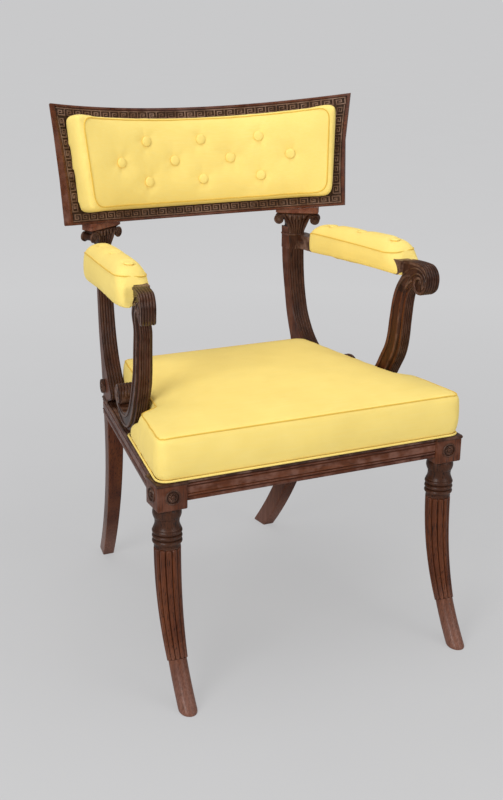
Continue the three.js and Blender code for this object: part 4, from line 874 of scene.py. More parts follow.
@dataclass
class Crest:
    """Crest tablet: a raked board, hollow to the front, with a carved meander round its pad."""

    radius: float = 500.0
    base_y: float = 462.5
    base_z: float = 671.0
    rake: float = math.radians(11)
    half_width: float = 266.5
    flare: float = 19.0
    height: float = 196.0
    end_rise: float = 8.0
    thick: float = 24.0
    end_thick: float = 16.0
    tip_thick: float = 6.0
    border: float = 4.5
    recess: float = 1.5
    # Heights on the board of the ring's inner points, and of the rows that the meander is measured on
    rows: tuple[float, ...] = (40.0, 80.0, 120.0, 160.0)
    middle_row: float = 100.0
    upper_row: float = 190.0
    cell: float = 1.84
    key_cells: int = 10
    # One turn of the meander: low column and row to high column and row, in cells
    key: tuple[tuple[float, float, float, float], ...] = (
        (0, 0, 1, 7), (1, 6, 8, 7), (7, 2, 8, 6), (3, 2, 7, 3), (3, 3, 4, 5), (4, 4, 6, 5), (1, 0, 10, 1),
    )

    def at(self, x: float, w: float, d: float) -> Vector:
        """Place on the board: x along its face, w up it, d out of it."""
        angle = math.asin(x / self.radius)
        near = self.radius - d
        sag = self.radius - near * math.cos(angle)
        return Vector((
            near * math.sin(angle),
            self.base_y + w * math.sin(self.rake) - sag * math.cos(self.rake),
            self.base_z + w * math.cos(self.rake) + sag * math.sin(self.rake),
        ))

    def on_board(self, point: Vector) -> tuple[float, float, float]:
        """Place on the board, as along, up and out, of a point of the chair."""
        back = Vector((point.x, point.y - self.base_y, point.z - self.base_z))
        w = back.y * math.sin(self.rake) + back.z * math.cos(self.rake)
        sag = back.z * math.sin(self.rake) - back.y * math.cos(self.rake)
        near = math.hypot(back.x, self.radius - sag)
        return self.radius * back.x / near, w, self.radius - near

    def out(self, x: float) -> Vector:
        """Direction out of the board's face at x."""
        return (self.at(x, 0, 1) - self.at(x, 0, 0)).normalized()

    def top(self, share: float) -> float:
        """Height of the board at a share of its half width."""
        return self.height + self.end_rise * share ** 2

    def reach(self, w: float) -> float:
        """Half of the board's width at a height on it."""
        return self.half_width + self.flare * (w / (self.height + self.end_rise)) ** 2

    def underside(self, y: float) -> float:
        """Height of the board's lower edge plane at y."""
        return self.base_z - math.tan(self.rake) * (y - self.base_y)

    def ring(self, share: float, sunk: float) -> list[Vector]:
        """Ring across the board's section."""
        top = self.top(share)
        step = self.border
        front = [
            (0.0, -1.2), (1.2, 0.0), (step - 0.3, 0.0), (step + 0.3, -sunk), *[(row, -sunk) for row in self.rows],
            (top - step - 0.3, -sunk), (top - step + 0.3, 0.0), (top - 1.2, 0.0), (top, -1.2),
        ]
        points = [self.at(share * self.reach(w), w, d) for w, d in front]
        back = [(top, 1.5), (top - 1.5, 0), *[(row, 0) for row in self.rows[::-1]], (1.5, 0), (0.0, 1.5)]
        for w, ease_mm in back:
            up = w / top
            end = blend(self.end_thick, self.tip_thick, up ** 2)
            thick = blend(self.thick, end, share ** 4) - ease_mm
            points.append(self.at(share * self.reach(w), w, -thick))
        return points

    def build_board(self, finishes: Finishes) -> None:
        """Builds and dresses the board."""
        shape = Solid()
        edge = 1 - self.border / self.half_width
        shares = [-1, -0.9965, -edge - 0.001, -edge + 0.001]
        shares += [blend(-edge, edge, step / 60) for step in range(1, 60)]
        shares += [edge - 0.001, edge + 0.001, 0.9965, 1]
        shape.sweep([self.ring(share, self.recess if abs(share) < edge else 0.0) for share in shares])
        board = shape.piece("crest_board", finishes.mahogany[Grain.ACROSS], Slot.MAHOGANY, ["crest_tablet"])

        def sunk(middle: Vector, _: Vector) -> bool:
            """Whether a face lies in the sunk field under the meander."""
            x, w, d = self.on_board(middle)
            inside = self.border < w < self.top(abs(x) / self.reach(w)) - self.border
            return inside and abs(x) < self.reach(w) - self.border and -2.4 < d < -1.2

        paint(board, finishes.ground, sunk)

    def band(self, shape: Solid, length: float, place: Callable[[float, float, float], Vector]) -> None:
        """Lays meander keys along a band.

        Args:
            shape: the carving that they are added to.
            length: the band's length in millimetres.
            place: maps the way along, the way across and the rise to a point.
        """
        count = round(length / (self.cell * self.key_cells))
        pitch = length / (count * self.key_cells)
        for unit in range(count):
            for low_u, low_v, high_u, high_v in self.key:
                corners = ((unit * self.key_cells + low_u) * pitch, low_v * self.cell, -self.recess - 0.2)
                ends = ((unit * self.key_cells + high_u) * pitch, high_v * self.cell, -0.15)
                for vert in shape.block(corners, ends):
                    vert.co = place(*vert.co)

    def build_meander(self, finishes: Finishes) -> None:
        """Builds and dresses the carved meander on all four sides of the pad."""
        shape = Solid()
        inset = self.border + 1.2
        depth = 7 * self.cell
        for side in (-1, 1):
            span = self.reach(self.middle_row) - inset

            def low(u: float, v: float, rise: float, s: int = side) -> Vector:
                """Place on the lower band."""
                return self.at(s * (u - span) * (self.reach(v) - inset) / span, inset + v, rise)

            def high(u: float, v: float, rise: float, s: int = side) -> Vector:
                """Place on the upper band."""
                x = s * (u - span) * (self.reach(self.upper_row) - inset) / span
                return self.at(x, self.top(abs(x) / self.reach(self.upper_row)) - inset - v, rise)

            def upright(u: float, v: float, rise: float, s: int = side) -> Vector:
                """Place on the band at one end."""
                w = inset + depth + self.cell * 2 + u
                return self.at(s * (self.reach(w) - inset - v), w, rise)

            if side < 0:
                self.band(shape, span * 2, low)
                self.band(shape, span * 2, high)
            self.band(shape, self.top(1) - 2 * (inset + depth) - self.cell * 3, upright)
        shape.piece("crest_meander", finishes.keys, Slot.CARVED, crease=20)

    def build(self, finishes: Finishes) -> None:
        """Builds the tablet and its carving."""
        self.build_board(finishes)
        self.build_meander(finishes)


@dataclass
class Stiles:
    """Reeded posts that sweep forward along the side rail at their foot."""

    plan: Plan
    crest: Crest
    top: float = 640.0
    width: float = 28.0
    depth: float = 24.0
    rear: float = 459.0
    back_step: float = 3.5
    toe_reach: float = 76.0
    reeds: int = 5
    reed_depth: float = 2.2
    plain_from: float = 598.0
    ledge: float = 628.0
    block_step: float = 1.6
    # Faces turned further than this to the side are polished plain
    facing: float = 0.86
    # Share of the height, reach of the front as a share of the toe, place of the back from the rail's end
    path: tuple[Point, ...] = (
        (0, 0.86, 1), (0.02, 0.93, 0.97), (0.055, 1.25, 0.91), (0.09, 1.29, 0.86), (0.13, 1.12, 0.8),
        (0.19, 0.88, 0.72), (0.24, 0.68, 0.66), (0.31, 0.48, 0.52), (0.42, 0.27, 0.34), (0.56, 0.13, 0.2),
        (0.7, 0.05, 0.11), (0.85, 0.01, 0.05), (1, 0, 0),
    )

    @property
    def turn(self) -> float:
        """Angle by which the posts' top faces inward, along the crest."""
        return math.asin(self.plan.side_x(self.rear) / self.crest.radius)

    def ring(self, rise: float, reach: float, back: float) -> list[Point]:
        """Level ring at a share of the height."""
        z = blend(self.plan.rail_top, self.top, rise)
        rear = blend(self.rear, self.plan.rail_end, back)
        front = self.rear - self.depth - self.toe_reach * reach
        turn = self.turn * rise ** 2
        half = self.width / 2
        carved = self.reed_depth * (1 - ease((z - self.plain_from) / 6))
        rear += self.back_step * ease((rise - 0.5) / 0.3)
        outline = [(across, front + sunk) for across, sunk in reeds(self.width - 2, self.reeds, carved)]
        side = [(half, front + 1), (half, front + 3), (half - 1.1, front + 3.8), (half - 1.1, front + 5.2)]
        side += [(half, front + 6.0), (half, rear - 1.5), (half - 1.5, rear)]
        outline = outline + side + [(-across, y) for across, y in reversed(side)]
        return [
            (self.plan.side_x(y) + across * math.cos(turn), y - across * math.sin(turn), z)
            for across, y in outline
        ]

    def build(self, finishes: Finishes) -> None:
        """Builds and dresses both posts."""
        shape = Solid()
        shape.sweep([self.ring(*station) for station in curve(self.path, 5)])
        y = self.rear - self.depth / 2
        half, deep = self.width / 2 + 0.6, self.depth / 2

        def ring(out: float, z: float) -> list[Point]:
            """Ring of the plain block at the arm, drawn out by a step."""
            wide = half + out
            corners = [(-wide, -deep - out), (wide, -deep - out), (wide, deep), (-wide, deep)]
            return [
                (self.plan.side_x(y + b) + a * math.cos(self.turn), y + b - a * math.sin(self.turn), z)
                for a, b in rounded(corners, [1.2] * 4, 2)
            ]

        low, high, step = self.plain_from + 1.5, self.ledge, self.block_step
        shape.sweep([ring(out, z) for out, z in (
            (-1.0, low - 1.5), (0.6, low), (0.6, high - 4.4), (step, high - 3.4), (step + 0.4, high - 1.6),
            (step, high - 0.4), (step - 0.6, high),
        )])
        for post in both_sides(shape, "stile_reeded", finishes.carved[Grain.UPRIGHT], Slot.CARVED, ["stile"]):
            paint(post, finishes.mahogany[Grain.UPRIGHT], lambda _, normal: abs(normal.x) > self.facing)


@dataclass
class ArmSupports:
    """Arm supports: a reeded scroll at the hand, a column and a J curve to a roll above the rail."""

    plan: Plan
    width: float = 29.0
    top_width: float = 25.0
    hand: tuple[float, float] = (76.5, 608.5)
    eye_radius: float = 13.0
    splay: float = 5.0
    splay_from: float = 560.0
    splay_over: float = 45.0
    roll: tuple[float, float] = (277.0, 410.0)
    roll_radius: float = 20.0
    thick: float = 32.0
    shoulder: float = 4.6
    reeds: int = 5
    reed_depth: float = 2.2
    ribbon: float = 5.4
    # The column's sides are polished plain between these heights, where they are turned further than facing
    plain: tuple[float, float] = (440.0, 585.0)
    facing: float = 0.9
    # Share of the way back, share of the way up and share of the thickness
    path: tuple[Point, ...] = (
        (0.1, 1.01, 0.7), (0.16, 0.985, 0.85), (0.2, 0.94, 0.92), (0.218, 0.89, 0.95), (0.225, 0.82, 0.97),
        (0.245, 0.68, 1), (0.26, 0.56, 1.02), (0.29, 0.46, 1.03), (0.345, 0.37, 1.03), (0.42, 0.26, 1),
        (0.53, 0.15, 1), (0.67, 0.08, 0.98), (0.82, 0.06, 0.86), (0.95, 0.085, 0.66), (1.03, 0.13, 0.5),
    )

    def ring(self, middle: Vector, along: Vector, width: float, thick: float) -> list[Point]:
        """Ring of the curve: reeds on its outer side, a groove along each edge of its sides."""
        outer = Vector((along.y, -along.x))
        half = width / 2
        step = self.shoulder
        outline = [(across, thick - sunk) for across, sunk in reeds(width - 2 * step, self.reeds, self.reed_depth)]
        side = [
            (half - step, thick - 5.2), (half - step + 0.8, thick - 5.8), (half - 1.2, thick - 6.2),
            (half, thick - 7.2), (half, thick - 10.2), (half - 1.5, thick - 11.2), (half - 1.5, 8.4 - thick),
            (half, 7.6 - thick), (half, 3.4 - thick), (half - 1.4, 2.6 - thick), (half - 1.6, -thick),
        ]
        outline = outline + side + [(-across, out) for across, out in reversed(side)]
        points = []
        for across, out in outline:
            y = middle.x + outer.x * out
            z = max(middle.y + outer.y * out, self.plan.rail_top + 0.3)
            points.append((self.middle(y, z) + across, y, z))
        return points

    def middle(self, y: float, z: float) -> float:
        """X of the support's middle line, which splays outward at the hand."""
        return self.plan.side_x(y) + self.splay * ease((z - self.splay_from) / self.splay_over)

    def column(self, shape: Solid) -> None:
        """Adds the column and its J curve."""
        stations = curve(self.path, 6)
        places = [
            Vector((blend(self.hand[0], self.roll[0], a), blend(self.plan.rail_top, self.hand[1], u)))
            for a, u, _ in stations
        ]
        rings = []
        for i, (_, _, thick) in enumerate(stations):
            along = (places[min(i + 1, len(places) - 1)] - places[max(i - 1, 0)]).normalized()
            width = blend(self.top_width, self.width, min(2 * i / (len(stations) - 1), 1))
            rings.append(self.ring(places[i], along, width, self.thick * thick / 2))
        shape.sweep(rings)

    def volute(self, shape: Solid, line: Sequence[Point], width: float, thick: float) -> None:
        """Adds a reeded ribbon that winds into a scroll.

        Args:
            shape: the support that it is added to.
            line: the ribbon's outer line, as [y, z].
            width: its width across the arm.
            thick: its thickness.
        """
        rings = []
        count = len(line)
        for i, (y, z) in enumerate(line):
            along = (Vector(line[min(i + 1, count - 1)]) - Vector(line[max(i - 1, 0)])).normalized()
            out = Vector((along.y, -along.x))
            section = [(across, -sunk) for across, sunk in reeds(width - 1.6, self.reeds, self.reed_depth)]
            section += [(width / 2, -1), (width / 2, -thick + 0.8), (width / 2 - 0.8, -thick)]
            section += [(0.8 - width / 2, -thick), (-width / 2, -thick + 0.8), (-width / 2, -1)]
            rings.append([(self.middle(y, z) + across, y + out.x * o, z + out.y * o) for across, o in section])
        shape.sweep(rings)

    def web(self, shape: Solid) -> None:
        """Adds the solid under the hand's ribbon, with two borders that flow from the column round the scroll."""
        outline = rounded([
            (121.5, 636), (84, 636), (67, 630), (60.5, 614), (66, 596), (80, 590),
            (96, 600), (112, 586), (121.5, 586),
        ], [1, 8, 9, 9, 7, 7, 6, 6, 2], 5)
        half = self.top_width / 2 - 1.6
        rings = []
        for share, out in ((0.93, half), (0.985, half), (1.0, half - 0.8)):
            ring = [(blend(95.0, y, share), blend(612.0, z, share)) for y, z in outline]
            rings.append([(y, z, out) for y, z in ring])
        loops = rings + [[(y, z, -out) for y, z, out in ring] for ring in reversed(rings)]
        shape.sweep([[(self.middle(y, z) + out, y, z) for y, z, out in loop] for loop in loops])
        borders = (
            ((132, 578), (130, 594), (122, 610), (110, 622), (96, 629.5), (82, 631), (69, 625), (61.5, 613)),
            ((114, 578), (111, 594), (104, 607), (95, 617), (84, 622.5), (73, 620), (64.5, 611), (64, 602)),
        )
        for side in (-1, 1):
            for border in borders:
                line = [(self.middle(y, z) + side * (half + 0.3), y, z) for y, z in curve(border, 5)]
                shape.tube([Vector(point) for point in line], 1.4)

    def drum(self, shape: Solid, centre: tuple[float, float], radius: float, width: float) -> None:
        """Adds the scroll's sunk core and the eye on each of its faces."""
        place = Vector((self.middle(*centre), *centre))
        half = width / 2
        shape.lathe([(radius, 1.8 - half), (radius, half - 1.8)], place, Vector((1, 0, 0)))
        eye = [(3.8, 0), (3.8, half - 0.4), (3.2, half + 0.4), (2.2, half + 0.1), (1.4, half + 0.7)]
        for side in (-1, 1):
            shape.lathe(eye, place, Vector((side, 0, 0)), 24)

    def build(self, finishes: Finishes) -> None:
        """Builds and dresses both supports."""
        shape = Solid()
        self.column(shape)
        self.web(shape)
        hand = spiral(self.hand, [
            (86, 31.4), (100, 30.2), (120, 27.2), (145, 23.2), (165, 20.6), (190, 19.2), (225, 20.2), (270, 21.4),
            (320, 18), (370, 13.8), (430, 10.8), (490, 8.2), (560, 6),
        ])
        start = [(122.5, 638.6), (112.0, 639.6), (103.0, 640.2), (94.0, 640.4), (86.0, 640.3)]
        self.volute(shape, start + hand, self.top_width, self.ribbon)
        self.drum(shape, self.hand, self.eye_radius, self.top_width)
        radius = self.roll_radius
        roll = spiral(self.roll, [(angle, radius - sunk) for angle, sunk in (
            (262, -1), (300, -0.6), (360, 0), (410, 0), (450, 0.4), (500, 1.2), (550, 3), (600, 5.6), (660, 8.4),
            (730, 10.6), (800, 12.4),
        )])
        self.volute(shape, roll, self.width, self.ribbon - 0.8)
        self.drum(shape, self.roll, radius - 2.5, self.width)
        carved, polished = finishes.carved[Grain.UPRIGHT], finishes.mahogany[Grain.UPRIGHT]
        low, high = self.plain
        for support in both_sides(shape, "arm_support_scroll", carved, Slot.CARVED, ["arm_support"]):
            paint(support, polished, lambda middle, normal: abs(normal.x) > self.facing and low < middle.z < high)


@dataclass
class Capitals:
    """Capitals between the stiles and the crest: stepped slab, two scrolls and flutes that flare up to them."""

    stiles: Stiles
    crest: Crest
    turn: float = math.radians(32)
    slab_width: float = 80.0
    slab_depth: float = 22.0
    slab_height: float = 10.0
    arris: float = 1.0
    forward: float = 6.0
    outward: float = 4.0
    bell_width: float = 63.0
    bell_depth: float = 20.0
    scroll_radius: float = 8.7
    scroll_spread: float = 67.0
    flutes: int = 7

    def place(self, across: float, along: float, z: float, up: float = 1.0) -> Vector:
        """Place in the chair of a point on the right capital, which turns as it rises from neck to slab."""
        y = self.stiles.rear - self.stiles.depth / 2 - self.forward * up
        angle = blend(self.stiles.turn, self.turn, up)
        slant = blend(-self.stiles.plan.toe, math.sin(angle), up)
        x = self.stiles.plan.side_x(y) + self.outward * up + across * math.cos(angle) + along * slant
        return Vector((x, y - across * math.sin(angle) + along * blend(1, math.cos(angle), up), z))

    def slab(self, width: float, depth: float, z: float | None) -> list[Vector]:
        """Ring of the slab; without a height it is cut to the crest's underside."""
        corners = rounded([
            (-width / 2, -depth / 2), (width / 2, -depth / 2), (width / 2, depth / 2), (-width / 2, depth / 2),
        ], [self.arris] * 4, 2)
        ring = [self.place(across, along, z or 0) for across, along in corners]
        for point in ring:
            point.z = z if z is not None else self.crest.underside(point.y) - 0.3
        return ring

    def bell(self, shape: Solid, low: float, high: float) -> None:
        """Adds the fluted bell: narrow at the neck, turned from the stile's way to the slab's."""
        rings = []
        for step in range(19):
            share = step / 18
            flare = share ** 2.0
            width = blend(self.stiles.width - 2.4, self.bell_width, flare)
            depth = blend(self.stiles.depth + 0.6, self.bell_depth, flare)
            carved = blend(2.2, 3.6, share)
            face = [(across, -depth / 2 + sunk) for across, sunk in reeds(width, self.flutes, carved)]
            face += [(-across, -out) for across, out in face]
            rings.append([self.place(across, out, blend(low, high, share), share) for across, out in face])
        shape.sweep(rings)

    def horn(self, shape: Solid, side: int, face: int, seat: float) -> None:
        """Adds the band that rises from the neck and winds into a scroll."""
        radius, neck = self.scroll_radius, self.stiles.ledge
        centre = (side * self.scroll_spread / 2, seat + 0.6 - radius)
        heights = (neck + 1.5, neck + 10, neck + 19, seat - 2.2)
        rise = [(side * out, up) for out, up in zip((12.0, 13.6, 17.4, 24.0), heights)]
        turns = [(angle, radius - sunk) for angle, sunk in (
            (84, 1), (30, 0.9), (-30, 0.9), (-90, 1), (-150, 1.6), (-210, 2.6), (-270, 4), (-330, 5.2),
            (-400, 6.4), (-480, 7.6),
        )]
        wind = [(centre[0] + side * u, centre[1] + v) for u, v in spiral((0, 0), turns, 6)]
        line = curve(rise, 5)[:-1] + wind
        reach = self.bell_depth / 2 + 0.9
        path = [self.place(u, face * reach, v, ease((v - neck) / (seat - neck) * 1.3)) for u, v in line]
        shape.tube(path, 1.9)
        eye = self.place(centre[0], face * reach, centre[1])
        shape.lathe([(2.1, -1), (2.1, 0.8), (1.3, 1.7)], eye, self.axis * face, 16)

    @property
    def axis(self) -> Vector:
        """Direction across the slab's front, level and backwards."""
        return Vector((math.sin(self.turn), math.cos(self.turn), 0))

    def build(self, finishes: Finishes) -> None:
        """Builds and dresses both capitals."""
        shape = Solid()
        seat = self.crest.underside(self.stiles.rear - self.stiles.depth / 2) - self.slab_height
        wide, deep = self.slab_width, self.slab_depth
        steps = [self.slab(wide - a, deep - b, seat + up) for a, b, up in (
            (13, 7, -0.6), (13, 7, 0.8), (9, 5, 1), (8.4, 4.4, 2.2), (5, 3, 3.2), (1.2, 1, 4), (0, 0, 4.2),
        )]
        shape.sweep([*steps, self.slab(wide, deep, None)])
        self.bell(shape, self.stiles.ledge - 0.5, seat + 0.5)
        radius = self.scroll_radius
        half = self.bell_depth / 2 + 1
        profile = [(radius - sunk, -half * along) for sunk, along in (
            (1.2, 1), (0.2, 0.94), (0, 0.82), (1.8, 0.68), (2.8, 0), (1.8, -0.68), (0, -0.82),
            (0.2, -0.94), (1.2, -1),
        )]
        for side in (-1, 1):
            middle = self.place(side * self.scroll_spread / 2, 0, seat + 0.6 - radius)
            shape.lathe(profile, middle, self.axis, 36)
            for face in (-1, 1):
                self.horn(shape, side, face, seat)
        upright = Matrix.Rotation(-self.turn, 3, "Z")
        for face in (-1, 1):
            for column in (-1.5, -0.5, 0.5, 1.5):
                tip = self.place(column * 8.6, face * (self.bell_depth / 2 + 0.2), seat - 4.2)
                shape.dome(tip, (2.5, 2.0, 5.0), upright, 5)
        # Painted light: above its step the slab takes the lighter copy of the polish
        carved, polished = finishes.carved[Grain.UPRIGHT], finishes.slab
        for capital in both_sides(shape, "capital_carved", carved, Slot.CARVED, ["capital"]):
            paint(capital, polished, lambda middle, _: middle.z > seat + 3.4)


@dataclass
class Paterae:
    """Round carved bosses: on the blocks' outer faces and on the stiles' feet."""

    plan: Plan
    radius: float = 12.8
    height: float = 3.8
    boss_height: float = 7.0
    petals: int = 12
    drop: float = 23.0
    stile_inset: float = 15.0
    stile_out: float = 15.3

    def boss(self, shape: Solid, place: Vector, axis: Vector, height: float) -> None:
        """Adds a boss with its rim, petals and eye."""
        r, base = self.radius, height - self.height
        outline = [
            (r - 0.3, -0.2, 0.0), (r, 0.6 + base, -1.1), (r - 3.0, 1.5 + base, 0.0), (r - 3.4, 0.2 + base, 0.0),
            (r - 4.4, 0.2 + base, -0.6), (r - 6.0, 0.7 + base, 0.0), (r - 6.4, 0.1 + base, 0.0),
            (4.2, 0.1 + base, 0.0), (3.9, 1.6 + base, -1.0), (0.4, 3.2 + base, 0.0),
        ]
        shape.lathe(arched(outline, 5), place, axis)
        turn = Vector((0, 0, 1)).rotation_difference(axis).to_matrix()
        for i in range(self.petals):
            angle = math.tau * i / self.petals
            spoke = turn @ Vector((math.cos(angle), math.sin(angle), 0))
            spin = turn @ Matrix.Rotation(angle, 3, "Z")
            shape.dome(place + spoke * 5.4 + axis * (0.5 + base), (1.6, 1.1, 0.9), spin, 4)

    def build(self, finishes: Finishes) -> None:
        """Builds and dresses the bosses."""
        carved = finishes.carved[Grain.UPRIGHT]
        half, z = BLOCK_HALF, self.plan.rail_top - self.drop
        front = Solid()
        self.boss(front, Vector((self.plan.leg_x, -half, z)), Vector((0, -1, 0)), self.height)
        both_sides(front, "patera_front", carved, Slot.CARVED, ["rosette_front"])
        side = Solid()
        self.boss(side, Vector((self.plan.leg_x + half, 0, z)), Vector((1, 0, 0)), self.height)
        both_sides(side, "patera_side", carved, Slot.CARVED, ["rosette_side"])
        y = self.plan.rail_end - self.stile_inset
        out = Vector((1, self.plan.toe, 0)).normalized()
        stile = Solid()
        place = Vector((self.plan.side_x(y) + self.stile_out, y, self.plan.rail_top + self.drop))
        self.boss(stile, place, out, self.boss_height)
        both_sides(stile, "patera_stile", carved, Slot.CARVED, ["rosette_stile"])


# Upholstery


@dataclass(frozen=True)
class Filling:
    """How a cover swells over its filling: mesh size, the furthest that a point moves, and the cloth's values."""

    voxel_mm: float
    cap_mm: float
    pressure: float = 4.0
    mass: float = 0.3
    stiffness: float = 15.0
    bending: float = 0.6
    quality: int = 5
    frames: int = 20


def frozen_mesh(piece: Object) -> None:
    """Makes the modifiers' result the piece's own mesh, and drops the modifiers."""
    graph = bpy.context.evaluated_depsgraph_get()
    mesh = bpy.data.meshes.new_from_object(piece.evaluated_get(graph))
    old = piece.data
    piece.modifiers.clear()
    piece.data = mesh
    bpy.data.meshes.remove(old)


def remeshed(piece: Object, filling: Filling) -> None:
    """Gives a piece an even mesh that cloth can move."""
    voxels = piece.modifiers.new("voxels", "REMESH")
    voxels.mode = "VOXEL"
    voxels.voxel_size = filling.voxel_mm * MM
    frozen_mesh(piece)
    bm = bmesh.new()
    bm.from_mesh(piece.data)
    for _ in range(3):
        bmesh.ops.smooth_vert(bm, verts=bm.verts, factor=0.5, use_axis_x=True, use_axis_y=True, use_axis_z=True)
    bm.to_mesh(piece.data)
    bm.free()
    piece.data.shade_smooth()


def swell(piece: Object, held: Callable[[Vector], float], filling: Filling) -> None:
    """Blows the cover up by cloth simulation, with its seams and its seat held.

    Args:
        piece: a closed mesh.
        held: how firmly a point in millimetres is held, from 0 to 1.
        filling: mesh size, cap and the cloth's values.
    """
    remeshed(piece, filling)
    group = piece.vertex_groups.new(name="held")
    for vert in piece.data.vertices:
        weight = held(chair_place(vert.co))
        if weight > 0:
            group.add([vert.index], weight, "REPLACE")
    cloth = piece.modifiers.new("cover", "CLOTH")
    settings = cloth.settings
    settings.quality = filling.quality
    settings.mass = filling.mass
    settings.use_pressure = True
    settings.uniform_pressure_force = filling.pressure
    settings.vertex_group_mass = group.name
    settings.effector_weights.gravity = 0
    settings.tension_stiffness = settings.compression_stiffness = filling.stiffness
    settings.bending_stiffness = filling.bending
    cloth.collision_settings.use_collision = False
    cloth.point_cache.frame_end = filling.frames
    scene = bpy.context.scene
    for step in range(1, filling.frames + 1):
        scene.frame_set(step)
    rest = [vert.co.copy() for vert in piece.data.vertices]
    frozen_mesh(piece)
    for vert, start in zip(piece.data.vertices, rest):
        move = vert.co - start
        if move.length > filling.cap_mm * MM:
            vert.co = start + move.normalized() * filling.cap_mm * MM
    piece.vertex_groups.clear()
    scene.frame_set(1)


class Skin:
    """Finished surface of a padded piece, for its seams and buttons to lie on."""

    def __init__(self, piece: Object) -> None:
        """Reads the piece's mesh."""
        points = [chair_place(vert.co) for vert in piece.data.vertices]
        self.tree = BVHTree.FromPolygons(points, [tuple(face.vertices) for face in piece.data.polygons])

    def near(self, point: Vector, proud: float = 0.2) -> Vector:
        """Nearest point of the skin, a little proud of it."""
        place, normal, _, _ = self.tree.find_nearest(point)
        return place + normal * proud

    def under(self, point: Vector, out: Vector, reach: float = 30.0) -> Vector:
        """Where the skin lies under a point, looking against a direction, or the point if nothing is there."""
        place, _, _, _ = self.tree.ray_cast(point + out * reach, -out)
        return point if place is None else place


def soften(piece: Object) -> None:
    """Adds one subdivision, the same in the view and in the render."""
    finer = piece.modifiers.new("finer", "SUBSURF")
    finer.levels = finer.render_levels = 1


def nudge(piece: Object, move: Callable[[Vector, Vector], Vector]) -> None:
    """Moves each point by millimetres, given its place and its normal."""
    normals = [vert.normal.copy() for vert in piece.data.vertices]
    for vert, normal in zip(piece.data.vertices, normals):
        vert.co += move(chair_place(vert.co), normal) * MM


def pucker(away: Vector, normal: Vector, turn: float, depth: float, reach: float) -> Vector:
    """Small folds that run out from a button.

    Args:
        away: from the button to the point, in the cover's plane, as [across, up, 0].
        normal: the cover's direction there.
        turn: angle of the first fold.
        depth: depth of the folds.
        reach: how far they run.

    Returns:
        The move of the point.
    """
    distance = away.length
    if distance > reach * 4:
        return Vector()
    fold = math.cos(5 * math.atan2(away.y, away.x) + turn) - 0.6
    strength = (distance / reach) * math.exp(1 - distance / reach)
    return normal * (fold * depth * strength)


